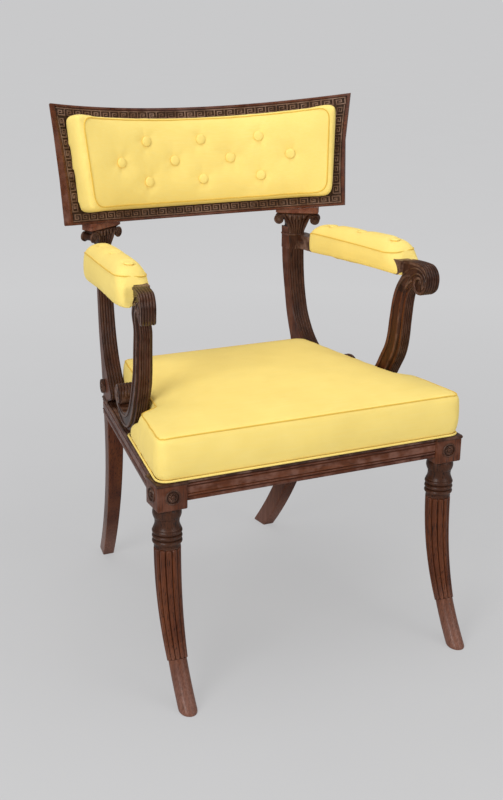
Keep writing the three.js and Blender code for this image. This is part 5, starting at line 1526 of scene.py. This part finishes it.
@dataclass
class BackPad:
    """Boxed back pad on the crest, drawn in by ten buttons."""

    crest: Crest
    margin: float = 19.0
    side: float = 31.0
    crown: float = 9.0
    corner: float = 15.0
    tuft: float = 4.5
    spread: float = 9.0
    pitch: float = 118.0
    row: float = 35.0
    lift: float = 2.8
    under_slope: float = 4.0
    button_radius: float = 8.8
    button_height: float = 4.8
    seam: float = 1.15
    seam_in: float = 9.0
    seam_corner: float = 22.0
    filling: Filling = field(default_factory=lambda: Filling(4.6, 8.0))

    @property
    def buttons(self) -> list[tuple[float, float]]:
        """Places of the buttons on the board: along it and up it."""
        rows = ((1, (-1, 0, 1)), (0, (-1.5, -0.5, 0.5, 1.5)), (-1, (-1, 0, 1)))
        middle = self.crest.height / 2 + self.lift
        return [(column * self.pitch, middle + up * self.row) for up, columns in rows for column in columns]

    def reach(self, w: float) -> float:
        """Half width of the pad at a height on the board."""
        return self.crest.reach(w) - self.margin

    def limits(self, share: float) -> tuple[float, float]:
        """Lower and upper edge of the pad at a share of its half width, with its corners rounded."""
        away = self.reach(self.crest.height / 2) * (1 - abs(share))
        turn = max(1 - away / self.corner, 0)
        inset = self.corner * (1 - math.sqrt(max(1 - turn * turn, 0)))
        inner = 1 - ease((abs(share) - 0.8) / 0.14)
        low = self.margin + 0.5 + inset + 1.2 * inner
        return low, self.crest.top(share) - self.margin - inset * 0.7 - 2.4 * inner

    def depth(self, x: float, w: float, share: float, up: float) -> float:
        """Depth of the pad's front."""
        swell_share = (1 - abs(share) ** 6) * (1 - abs(2 * up - 1) ** 4)
        drawn = sum(
            self.tuft * math.exp(-((x - bx) ** 2 + (w - bw) ** 2) / (2 * self.spread ** 2))
            for bx, bw in self.buttons
        )
        return self.side + self.crown * swell_share - drawn

    def ring(self, share: float) -> list[Vector]:
        """Ring across the pad at a share of its half width."""
        low, high = self.limits(share)
        drawn = self.under_slope * (1 - abs(share) ** 8)
        side = self.side
        points = [(low - 0.5, -1.0), (low, side * 0.3), (low + 0.3 * drawn, side * 0.7), (low + drawn, side)]
        for step in range(25):
            up = step / 24
            w = blend(low + drawn + 1.5, high - 1.5, up)
            points.append((w, self.depth(share * self.reach(w), w, share, up)))
        points += [(high, side), (high + 1.2, side * 0.7), (high + 0.6, side * 0.3), (high - 1, -1.0)]
        return [self.crest.at(share * self.reach(w), w, d) for w, d in points]

    def held(self, point: Vector) -> float:
        """How firmly the cover is held at a point."""
        x, w, d = self.crest.on_board(point)
        if d < 6:
            return 1.0
        low, high = self.limits(min(abs(x) / self.reach(w), 1.0))
        end = self.reach(w) - abs(x) - self.seam_in
        if d > self.side - 7 and (abs(end) < 5 or min(w - low, high - w) < 6) and end > -5:
            return 0.95
        near = min(math.hypot(x - bx, w - bw) for bx, bw in self.buttons)
        return 1.0 if near < self.button_radius else 0.0

    def seam_line(self) -> list[Vector]:
        """Middle line of the piped seam round the pad's front."""
        low, high = self.margin + self.under_slope + 3.0, self.crest.height - self.margin - 4.0
        wide, narrow = self.reach(high) - self.seam_in, self.reach(low) - self.seam_in
        corners = [(-narrow, low), (narrow, low), (wide, high), (-wide, high)]
        points = []
        for x, w in resampled(rounded(corners, [self.seam_corner] * 4, 8), 9):
            share = x / self.reach(w)
            lifted = w + self.crest.end_rise * share ** 2 * w / self.crest.height
            up = (lifted - self.margin) / (self.crest.top(share) - 2 * self.margin)
            points.append(self.crest.at(x, lifted, self.depth(x, lifted, share, up) + 0.3))
        return points

    def build(self, finishes: Finishes) -> None:
        """Builds and dresses the pad, its seam and its buttons."""
        shape = Solid()
        bends = (1.0, 0.9985, 0.995, 0.99, 0.983, 0.974, 0.963, 0.95)
        shares = [-share for share in bends] + [blend(-0.935, 0.935, step / 70) for step in range(71)]
        shape.sweep([self.ring(share) for share in shares + list(bends[::-1])])
        pad = shape.piece("back_pad_cover", finishes.cover, Slot.COVER, ["back_pad"])
        swell(pad, self.held, self.filling)

        def fold(point: Vector, normal: Vector) -> Vector:
            """Folds round the nearest button."""
            x, w, d = self.crest.on_board(point)
            if d < self.side - 12:
                return Vector()
            i, (bx, bw) = min(enumerate(self.buttons), key=lambda b: math.hypot(x - b[1][0], w - b[1][1]))
            return pucker(Vector((x - bx, w - bw, 0)), normal, i * 1.7, 0.5, 11.0)

        nudge(pad, fold)
        soften(pad)
        skin = Skin(pad)
        seam = Solid()
        seam.tube([skin.near(point) for point in self.seam_line()], self.seam, closed=True)
        seam.piece("back_pad_welt", finishes.seam, Slot.COVER)
        buttons = Solid()
        outline = button_outline(self.button_radius, self.button_height)
        for x, w in self.buttons:
            out = self.crest.out(x)
            seat = skin.under(self.crest.at(x, w, self.side), out)
            buttons.lathe(outline, seat + out * 0.4, out, 28)
        names = [f"back_button_{i + 1:02d}" for i in range(len(self.buttons))]
        buttons.piece("back_buttons_covered", finishes.cover, Slot.COVER, names)


def button_outline(radius: float, height: float) -> Section:
    """Half section of a covered button: a flat dome over an undercut edge."""
    return arched([
        (radius * 0.72, -1.5, 0.0), (radius * 0.8, height * 0.2, -0.3), (radius, height * 0.46, -0.4),
        (radius * 0.86, height * 0.8, -0.3), (0.3, height, 0.0),
    ], 5)


@dataclass
class ArmPads:
    """Boxed pads on the arms: round in front, lower on the outside, each with three buttons and a seam."""

    bottom: float = 611.6
    front: float = 120.0
    back: float = 391.0
    front_x: float = 249.0
    back_x: float = 219.0
    half: float = 28.0
    side: float = 34.0
    crown: float = 21.5
    front_rise: float = 4.0
    outer_rise: float = 3.4
    lean: float = 20.0
    sag: float = 11.0
    seam_sag: float = 6.5
    hang: float = 13.0
    tuft: float = 6.5
    spread: float = 7.5
    button_radius: float = 8.6
    button_height: float = 4.6
    seam: float = 1.1
    stations: tuple[float, ...] = (0.175, 0.525, 0.85)
    filling: Filling = field(default_factory=lambda: Filling(3.6, 6.0))

    def y_at(self, share: float) -> float:
        """Y at a share of the pad's length."""
        return blend(self.front, self.back, share)

    def middle(self, y: float) -> float:
        """X of the right pad's middle line."""
        return blend(self.front_x, self.back_x, (y - self.front) / (self.back - self.front))

    def base(self, share: float) -> float:
        """Height of the pad's inner lower edge, which dips towards the stile."""
        return self.bottom - self.sag * share ** 2

    def seam_z(self, share: float, across: float = 0.0) -> float:
        """Height of the seam round the top: lowest at the back, highest at the outer front corner."""
        front = (self.front_rise + self.outer_rise * min(max(across, -1), 1)) * pull(share, 0.7)
        return self.bottom + self.side - self.seam_sag * share ** 2 - 3.0 * pull(1 - share, 0.08) + front

    def top_share(self, share: float) -> float:
        """Width of the top inside its seam, as a share of the full width."""
        return self.bend(share, 48, 14, 0.66, 0.3)

    def bend(self, share: float, front_mm: float, back_mm: float, front_cut: float, back_cut: float) -> float:
        """Width near the rounded ends, as a share of the full width.

        Args:
            share: place along the pad.
            front_mm: how far the front corner's rounding runs.
            back_mm: how far the back corner's rounding runs.
            front_cut: share of the width that is lost at the very front.
            back_cut: share of the width that is lost at the very back.

        Returns:
            The share that is left.
        """
        length = self.back - self.front
        left = 1.0
        for away, reach, lost in ((share, front_mm, front_cut), (1 - share, back_mm, back_cut)):
            turn = max(1 - away * length / reach, 0)
            left -= lost * (1 - math.sqrt(max(1 - turn * turn, 0)))
        return left

    def rise(self, across: float, share: float, x: float) -> float:
        """Height of the top over the seam."""
        ends = 1 - 0.85 * pull(share, 0.26) - 0.4 * pull(1 - share, 0.1)
        swell_share = (1 - abs(across) ** 3.0) * (1 - 0.32 * share ** 3) * ends
        y = self.y_at(share)
        drawn = sum(
            self.tuft * math.exp(
                -((x - self.middle(self.y_at(s))) ** 2 + (y - self.y_at(s)) ** 2) / (2 * self.spread ** 2)
            ) for s in self.stations
        )
        return self.crown * swell_share - drawn

    def ring(self, share: float) -> list[Point]:
        """Ring across the right pad, from the inner lower edge over the top to the outer one."""
        y, x = self.y_at(share), self.middle(self.y_at(share))
        body = self.half * self.bend(share, 30, 12, 0.44, 0.28)
        narrow = self.top_share(share)
        top = self.half * narrow
        base, seam = self.base(share), self.seam_z(share)
        hang = self.hang * blend(0.6, 1, ease(share / 0.25)) * (1 - 0.6 * pull(1 - share, 0.12))
        inner = [(-0.86, base), (-0.96, base + 2), (-1.01, base + 8), (-1.04, (base + seam) / 2)]
        points = [(x + body * a, y, z) for a, z in inner]
        points.append((x - min(top * 1.02, body), y, self.seam_z(share, -narrow) - 1))
        for step in range(1, 20):
            across = blend(-1, 1, step / 20)
            place = x + top * across
            points.append((place, y, self.seam_z(share, across * narrow) + self.rise(across, share, place)))
        points.append((x + min(top * 1.02, body), y, self.seam_z(share, narrow) - 1))
        low = base - hang
        outer = [
            (1.07, (low + seam) / 2 + 2), (1.06, low + 11), (1.0, low + 4), (0.88, low + 0.6), (0.7, low),
            (0.5, low + 0.8), (0.38, blend(low, base, 0.5)), (0.28, base - 0.4), (-0.4, base),
        ]
        points += [(x + body * a, y, z) for a, z in outer]
        return [(px, py + self.set_back(share, z), z) for px, py, z in points]

    def set_back(self, share: float, z: float) -> float:
        """How far the front leans back at a height."""
        up = min(max((z - self.bottom) / self.side, 0), 1)
        return self.lean * up ** 1.6 * max(1 - share / 0.16, 0)

    def held(self, point: Vector) -> float:
        """How firmly the cover is held at a point of the right pad."""
        share = min(max((point.y - self.front) / (self.back - self.front), 0), 1)
        across = (point.x - self.middle(point.y)) / self.half
        share = max(share - self.set_back(0, point.z) / (self.back - self.front), 0)
        if share < 0.012 or share > 0.985 or (point.z < self.base(share) + 4 and across < 0.3):
            return 1.0
        if abs(point.z - self.seam_z(share, across)) < 4 and abs(across) > 0.84 * self.top_share(share):
            return 0.95
        near = min(math.hypot(point.x - self.middle(self.y_at(s)), point.y - self.y_at(s)) for s in self.stations)
        return 1.0 if near < self.button_radius * 0.8 and point.z > self.seam_z(share) else 0.0

    def seam_line(self) -> list[Vector]:
        """Middle line of the piped seam round the right pad's top."""
        shares = [0.0008, 0.003, 0.007, 0.013, 0.022, 0.034, 0.05, 0.07, 0.095]
        shares += [blend(0.12, 0.94, step / 24) for step in range(25)] + [0.96, 0.975, 0.988, 0.996, 0.9993]

        def at(share: float, side: int) -> Vector:
            """Point of the seam on one side."""
            y, z = self.y_at(share), self.seam_z(share, side * self.top_share(share))
            top = self.half * self.top_share(share)
            return Vector((self.middle(y) + side * (top + 0.2), y + self.set_back(share, z), z + 0.2))

        return [at(share, 1) for share in shares] + [at(share, -1) for share in shares[::-1]]

    def build(self, finishes: Finishes) -> None:
        """Builds and dresses both pads, their seams and their buttons."""
        shape = Solid()
        shares = [0, 0.002, 0.006, 0.012, 0.02, 0.03, 0.044, 0.06, 0.08]
        shares += [blend(0.1, 0.94, step / 50) for step in range(51)]
        shares += [0.955, 0.968, 0.98, 0.989, 0.995, 0.999, 1.0]
        shape.sweep([self.ring(share) for share in shares])
        right = shape.piece("arm_pad_cover_right", finishes.cover, Slot.COVER, ["arm_pad_right"])
        swell(right, self.held, self.filling)

        def fold(point: Vector, normal: Vector) -> Vector:
            """Folds round the nearest button."""
            if point.z < self.bottom + self.side:
                return Vector()
            i, near = min(enumerate(self.stations), key=lambda s: abs(point.y - self.y_at(s[1])))
            y = self.y_at(near)
            return pucker(Vector((point.x - self.middle(y), point.y - y, 0)), normal, i * 2.1, 0.4, 7.0)

        nudge(right, fold)
        mesh = right.data.copy()
        mesh.transform(Matrix.Scale(-1, 4, (1, 0, 0)))
        mesh.flip_normals()
        left = placed("arm_pad_cover_left", mesh, Slot.COVER, ["arm_pad_left"])
        skin = Skin(right)
        for pad in (right, left):
            soften(pad)
        seam = Solid()
        seam.tube([skin.near(point) for point in self.seam_line()], self.seam, closed=True)
        both_sides(seam, "arm_pad_welt", finishes.seam, Slot.COVER)
        buttons = Solid()
        outline = button_outline(self.button_radius, self.button_height)
        for share in self.stations:
            y, out = self.y_at(share), Vector((0, 0, 1))
            seat = skin.under(Vector((self.middle(y), y, self.seam_z(share))), out, 50.0)
            buttons.lathe(outline, seat + out * 0.4, out, 28)
        names = [f"arm_button_{i + 1}" for i in range(len(self.stations))]
        both_sides(buttons, "arm_buttons_covered", finishes.cover, Slot.COVER, names)


@dataclass
class Cushion:
    """Seat cushion with boxed sides, cut in behind the arm supports, piped round its top and foot."""

    plan: Plan
    bottom: float = 366.0
    side: float = 70.3
    crown: float = 18.0
    front: float = -23.0
    back: float = 386.0
    overhang: float = 13.4
    notch: float = 106.0
    notch_foot: float = 198.0
    pivot: float = 91.0
    seam: float = 1.2
    foot: float = 1.9
    ear_drop: float = 1.5
    filling: Filling = field(default_factory=lambda: Filling(6.0, 8.0))

    def wide(self, y: float) -> float:
        """Half width in front of the arm supports."""
        return self.plan.side_x(y) + self.overhang

    def narrow(self, y: float) -> float:
        """Half width between the side frames."""
        return self.plan.side_x(y) - self.plan.rail_width / 2 - 3.3

    def cut_in(self, up: float) -> float:
        """Y at which the cushion steps in, further back at its foot, along the arm supports' curve."""
        pinch = -13.0 * math.exp(-((up - 0.72) / 0.1) ** 2)
        lobe = 5.0 * math.exp(-((up - 0.4) / 0.15) ** 2)
        return blend(self.notch_foot, self.notch, up) + pinch + lobe

    def outline(self, up: float, inset: float) -> list[Point]:
        """Plan outline at a share of the side's height, drawn in by inset."""
        front, back, notch = self.front + inset, self.back - inset, self.cut_in(up) - inset
        right = [
            (self.wide(front) - inset, front), (self.wide(notch) - inset, notch),
            (self.narrow(notch) - inset, notch + 1), (self.narrow(back) - inset, back),
        ]
        left = [(-x, y) for x, y in reversed(right)]
        ear = blend(9.0, 14.0, up)
        front_turn = blend(24.0, 20.0, up)
        return rounded(right + left, [front_turn, ear, 3, 14, 14, 3, ear, front_turn], 8)

    def ear(self, x: float, y: float) -> float:
        """How near a place is to a rounded-off rear corner of the cushion's front part, from 0 to 1."""
        return math.exp(-((y - self.notch) / 24) ** 2) * ease((abs(x) - self.narrow(self.notch) - 2) / 24)

    def rise(self, x: float, y: float) -> float:
        """Height of the top over its seam, lower at the ear."""
        across = 1 - min(abs(x) / self.wide(y), 1) ** 2.2
        along = 1 - min(abs(2 * (y - self.front) / (self.back - self.front) - 1), 1) ** 2.6
        return self.crown * math.sqrt(max(across * along, 0))

    def held(self, point: Vector) -> float:
        """How firmly the cover is held at a point."""
        if point.z < self.bottom + 5:
            return 1.0
        seam = self.bottom + self.side
        edge = self.wide(point.y) if point.y < self.notch + 3 else self.narrow(point.y)
        near = min(edge - abs(point.x), point.y - self.front, self.back - point.y)
        if point.y > self.notch - 9 and abs(point.x) > self.narrow(self.notch) - 6:
            near = min(near, abs(point.y - self.notch))
        if point.z < seam - 6 and point.y > self.notch and abs(point.x) > self.narrow(point.y) + 4:
            return 0.8
        return 0.97 if abs(point.z - seam) < 5 and near < 8 else 0.0

    def build(self, finishes: Finishes) -> None:
        """Builds and dresses the cushion and its piping."""
        shape = Solid()
        seam = self.bottom + self.side
        levels = [
            (1.2, 0), (-0.6, 0.03), (-1, 0.12), (-2.4, 0.35), (-2.6, 0.55), (-1.4, 0.74), (-1.6, 0.84),
            (-0.6, 0.95), (0.4, 1),
        ]
        rings = []
        for inset, up in levels:
            ring = [(x, y, self.bottom + self.side * up) for x, y in self.outline(up, inset)]
            rings.append([(x, y, z - self.ear_drop * up ** 2 * self.ear(x, y)) for x, y, z in ring])
        for share in (0.985, 0.96, 0.92, 0.86, 0.78, 0.68, 0.56, 0.42, 0.28, 0.14, 0.05):
            ring = []
            for x, y in self.outline(1.0, 0.4):
                px, py = x * share, self.pivot + (y - self.pivot) * share
                ring.append((px, py, seam + self.rise(px, py) - self.ear_drop * self.ear(px, py)))
            rings.append(ring)
        shape.sweep(rings)
        cushion = shape.piece("seat_cushion_cover", finishes.cover, Slot.COVER, ["seat_cushion"])
        swell(cushion, self.held, self.filling)

        def drape(point: Vector, normal: Vector) -> Vector:
            """Slack of the boxing: low waves along its length, upright folds at the ear."""
            if point.z > seam - 3 or point.z < self.bottom + 5:
                return Vector()
            up = math.sin(math.pi * (point.z - self.bottom) / self.side)
            along = point.x * abs(normal.y) + point.y * abs(normal.x)
            wave = 0.5 * math.sin(along / 19 + 1.3) + 0.4 * math.sin(along / 43 + 0.4)
            ear = math.exp(-abs(point.y - self.notch + 16) / 30) * math.sin((along + 0.35 * point.z) / 4.6)
            return normal * up * (wave + 1.1 * ear * abs(normal.x))

        nudge(cushion, drape)
        soften(cushion)
        skin = Skin(cushion)
        top = Solid()
        line = resampled(self.outline(1.0, 1.6), 14)
        path = [skin.near(Vector((x, y, seam + 1.5 - self.ear_drop * self.ear(x, y)))) for x, y in line]
        top.tube(path, self.seam, closed=True)
        top.piece("seat_cushion_seam", finishes.seam, Slot.COVER)
        piping = Solid()
        path = [Vector((x, y, self.bottom + 1.6)) for x, y in self.outline(0.0, 0.2)]
        piping.tube(path, self.foot, closed=True)
        piping.piece("seat_cushion_welt", finishes.cover, Slot.COVER)


@dataclass
class Webbing:
    """Straps woven over and under each other on the slip frame."""

    plan: Plan
    width: float = 46.0
    thick: float = 0.9
    bottom: float = 365.1
    from_y: float = 27.3
    to_y: float = 357.7
    margin: float = 22.0
    bar: float = 45.0
    count: int = 4

    def reach(self, y: float) -> float:
        """Half width of the net: to the middle of the slip frame's side bars."""
        return self.plan.side_x(y) - self.plan.rail_width / 2 - 0.3 - self.margin

    def strap(self, shape: Solid, start: Vector, end: Vector, crossings: Sequence[tuple[float, int]]) -> None:
        """Adds a strap that passes over or under at each crossing, given as its share and +1 or -1."""
        along = (end - start).normalized()
        side = Vector((0, 0, 1)).cross(along)
        rings = []
        for step in range(49):
            share = step / 48
            lift = sum(way * math.exp(-((share - at) / 0.055) ** 2) for at, way in crossings)
            middle = start.lerp(end, share) + Vector((0, 0, self.thick + 0.05 + 0.48 * max(-1, min(1, lift))))
            half = self.width / 2
            rings.append([
                middle + side * a * half + Vector((0, 0, b * self.thick / 2))
                for a, b in ((-1, -1), (1, -1), (1, 1), (-1, 1))
            ])
        shape.sweep(rings)

    def build(self, finishes: Finishes) -> None:
        """Builds and dresses the straps as one net."""
        shape = Solid()
        half = self.reach(self.to_y)
        xs = [half * ((i + 0.5) / self.count * 2 - 1) for i in range(self.count)]
        ys = [blend(self.from_y + self.bar, self.to_y - self.bar, i / (self.count - 1)) for i in range(self.count)]
        length = self.to_y - self.from_y
        for i, x in enumerate(xs):
            crossings = [((y - self.from_y) / length, 1 if (i + j) % 2 else -1) for j, y in enumerate(ys)]
            start, end = Vector((x, self.from_y, self.bottom)), Vector((x, self.to_y, self.bottom))
            self.strap(shape, start, end, crossings)
        for j, y in enumerate(ys):
            reach = self.reach(y + self.width)
            crossings = [((x + reach) / (2 * reach), -1 if (i + j) % 2 else 1) for i, x in enumerate(xs)]
            self.strap(shape, Vector((-reach, y, self.bottom)), Vector((reach, y, self.bottom)), crossings)
        shape.piece("webbing_woven", finishes.jute, Slot.JUTE, ["seat_webbing"], crease=60)


class HiddenFrame:
    """Solids that keep their shape and get their finish: rear rail, blocks, slip frame, arm rails, screws."""

    def build(self, finishes: Finishes) -> None:
        """Dresses the solids that stay."""
        dress = {
            "rear_rail": finishes.mahogany[Grain.ACROSS],
            "arm_rail": finishes.carved[Grain.DEEP],
            "corner_block": finishes.beech[Grain.ACROSS],
            "seat_frame_front": finishes.beech[Grain.ACROSS],
            "seat_frame_rear": finishes.beech[Grain.ACROSS],
            "seat_frame_right": finishes.beech[Grain.DEEP],
            "seat_frame_left": finishes.beech[Grain.DEEP],
            "screw": finishes.steel,
        }
        for name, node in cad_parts.items():
            for start, material in dress.items():
                if name.startswith(start) and not node.hide_render:
                    for place in node.material_slots:
                        place.material = material
                    log.info("%s: dressed", name)


# Studio


@dataclass
class Studio:
    """Pale floor, soft lamps and the camera of the photograph."""

    floor_size: float = 60.0
    floor: int = 0xD1D1D2
    own_light: float = 0.72
    air_light: float = 0.6
    lens: float = 57.561
    sensor: float = 36.0
    yaw: float = -0.446493
    pitch: float = 0.32957
    roll: float = 0.012745
    eye: tuple[float, float, float] = (-918.113, -1693.254, 1113.906)

    def build_floor(self) -> None:
        """Lays the floor: mostly its own light for the camera, dimmed near the chair as a painted shadow, with the
        lamps' light and their shadow.
        """
        bm = bmesh.new()
        bmesh.ops.create_circle(bm, cap_ends=True, segments=96, radius=self.floor_size)
        mesh = bpy.data.meshes.new("studio_floor")
        bm.to_mesh(mesh)
        bm.free()
        floor = bpy.data.objects.new("studio_floor", mesh)
        bpy.context.scene.collection.objects.link(floor)
        material, tree = new_material("studio_floor_painted_shadow")
        place = add(tree, "TexCoord")["Object"]
        mottle = add(tree, "TexNoise", {"Vector": place, "Scale": 3.0, "Detail": 4.0})[0]
        colour = add(tree, "ValToRGB", {"Fac": mottle}, ramp=[
            (0.3, linear(self.floor - 0x020202)), (0.7, linear(self.floor + 0x020202)),
        ])[0]
        lit = add(tree, "BsdfPrincipled", {"Base Color": colour, "Roughness": 0.9, "Specular IOR Level": 0.1})[0]
        # Painted shadow: the floor's own light is weaker near the chair and stronger far from it
        away = add(tree, "VectorMath", {0: place}, operation="LENGTH")["Value"]
        level = add(tree, "MapRange", {
            "Value": away, "From Min": 0.2, "From Max": 2.4, "To Min": 0.86, "To Max": 1.12,
        })[0]
        glow = add(tree, "Emission", {"Color": linear(self.floor), "Strength": level})[0]
        ray = add(tree, "LightPath")["Is Camera Ray"]
        share = add(tree, "Math", {0: ray, 1: self.own_light}, operation="MULTIPLY")[0]
        surface = add(tree, "MixShader", {0: share, 1: lit, 2: glow})[0]
        add(tree, "OutputMaterial", {"Surface": surface})
        mesh.materials.append(material)

    def build_world(self) -> None:
        """Fills the room with even pale light."""
        world = bpy.data.worlds.new("studio_air")
        bpy.context.scene.world = world
        world.use_nodes = True
        world.node_tree.nodes.clear()
        sky = add(world.node_tree, "Background", {"Color": linear(self.floor), "Strength": self.air_light})[0]
        seen = add(world.node_tree, "Background", {"Color": linear(self.floor), "Strength": 1.0})[0]
        ray = add(world.node_tree, "LightPath")["Is Camera Ray"]
        mixed = add(world.node_tree, "MixShader", {0: ray, 1: sky, 2: seen})[0]
        add(world.node_tree, "OutputWorld", {"Surface": mixed})

    def lamp(self, name: str, place: Sequence[float], size: float, power: float) -> None:
        """Adds a soft lamp that looks at the seat."""
        light = bpy.data.lights.new(name, "AREA")
        light.shape = "DISK"
        light.size = size
        light.energy = power
        lamp = bpy.data.objects.new(name, light)
        lamp.location = place
        lamp.rotation_mode = "QUATERNION"
        lamp.rotation_quaternion = (Vector((0, 0, 0.5)) - Vector(place)).to_track_quat("-Z", "Y")
        bpy.context.scene.collection.objects.link(lamp)

    def build_camera(self) -> None:
        """Places the camera where the photograph was taken from."""
        data = bpy.data.cameras.new("camera")
        data.sensor_fit = "AUTO"
        data.sensor_width = self.sensor
        data.lens = self.lens
        data.clip_end = 200.0
        camera = bpy.data.objects.new("camera", data)
        flat = math.cos(self.pitch)
        back = Vector((math.sin(self.yaw) * flat, -math.cos(self.yaw) * flat, math.sin(self.pitch)))
        level = Vector((math.cos(self.yaw), math.sin(self.yaw), 0))
        over = back.cross(level)
        right = level * math.cos(self.roll) + over * math.sin(self.roll)
        up = over * math.cos(self.roll) - level * math.sin(self.roll)
        x, y, z = self.eye
        axes = Matrix((right, up, back)).transposed().to_4x4()
        camera.matrix_world = Matrix.Translation((x * MM, (y + LEG_LINE) * MM, z * MM)) @ axes
        bpy.context.scene.collection.objects.link(camera)
        bpy.context.scene.camera = camera

    def build(self) -> None:
        """Sets the room up."""
        self.build_camera()
        self.build_floor()
        self.build_world()
        self.lamp("key", (-2.6, -1.8, 1.9), 1.8, 64.0)
        self.lamp("fill", (1.6, -2.8, 1.5), 2.0, 24.0)
        self.lamp("top", (-0.1, 0.0, 3.0), 2.0, 26.0)
        bpy.context.scene.view_settings.view_transform = "Standard"


def main() -> None:
    """Builds the chair and the room."""
    logging.basicConfig(level=logging.INFO, format="%(message)s")
    Studio().build()
    finishes = Finishes()
    plan = Plan()
    crest = Crest()
    stiles = Stiles(plan, crest)
    FrontLegs(plan).build(finishes)
    RearLegs(plan).build(finishes)
    Rails(plan).build(finishes)
    crest.build(finishes)
    stiles.build(finishes)
    Capitals(stiles, crest).build(finishes)
    ArmSupports(plan).build(finishes)
    Paterae(plan).build(finishes)
    Webbing(plan).build(finishes)
    Cushion(plan).build(finishes)
    ArmPads().build(finishes)
    BackPad(crest).build(finishes)
    HiddenFrame().build(finishes)


if __name__ == "__main__":
    main()
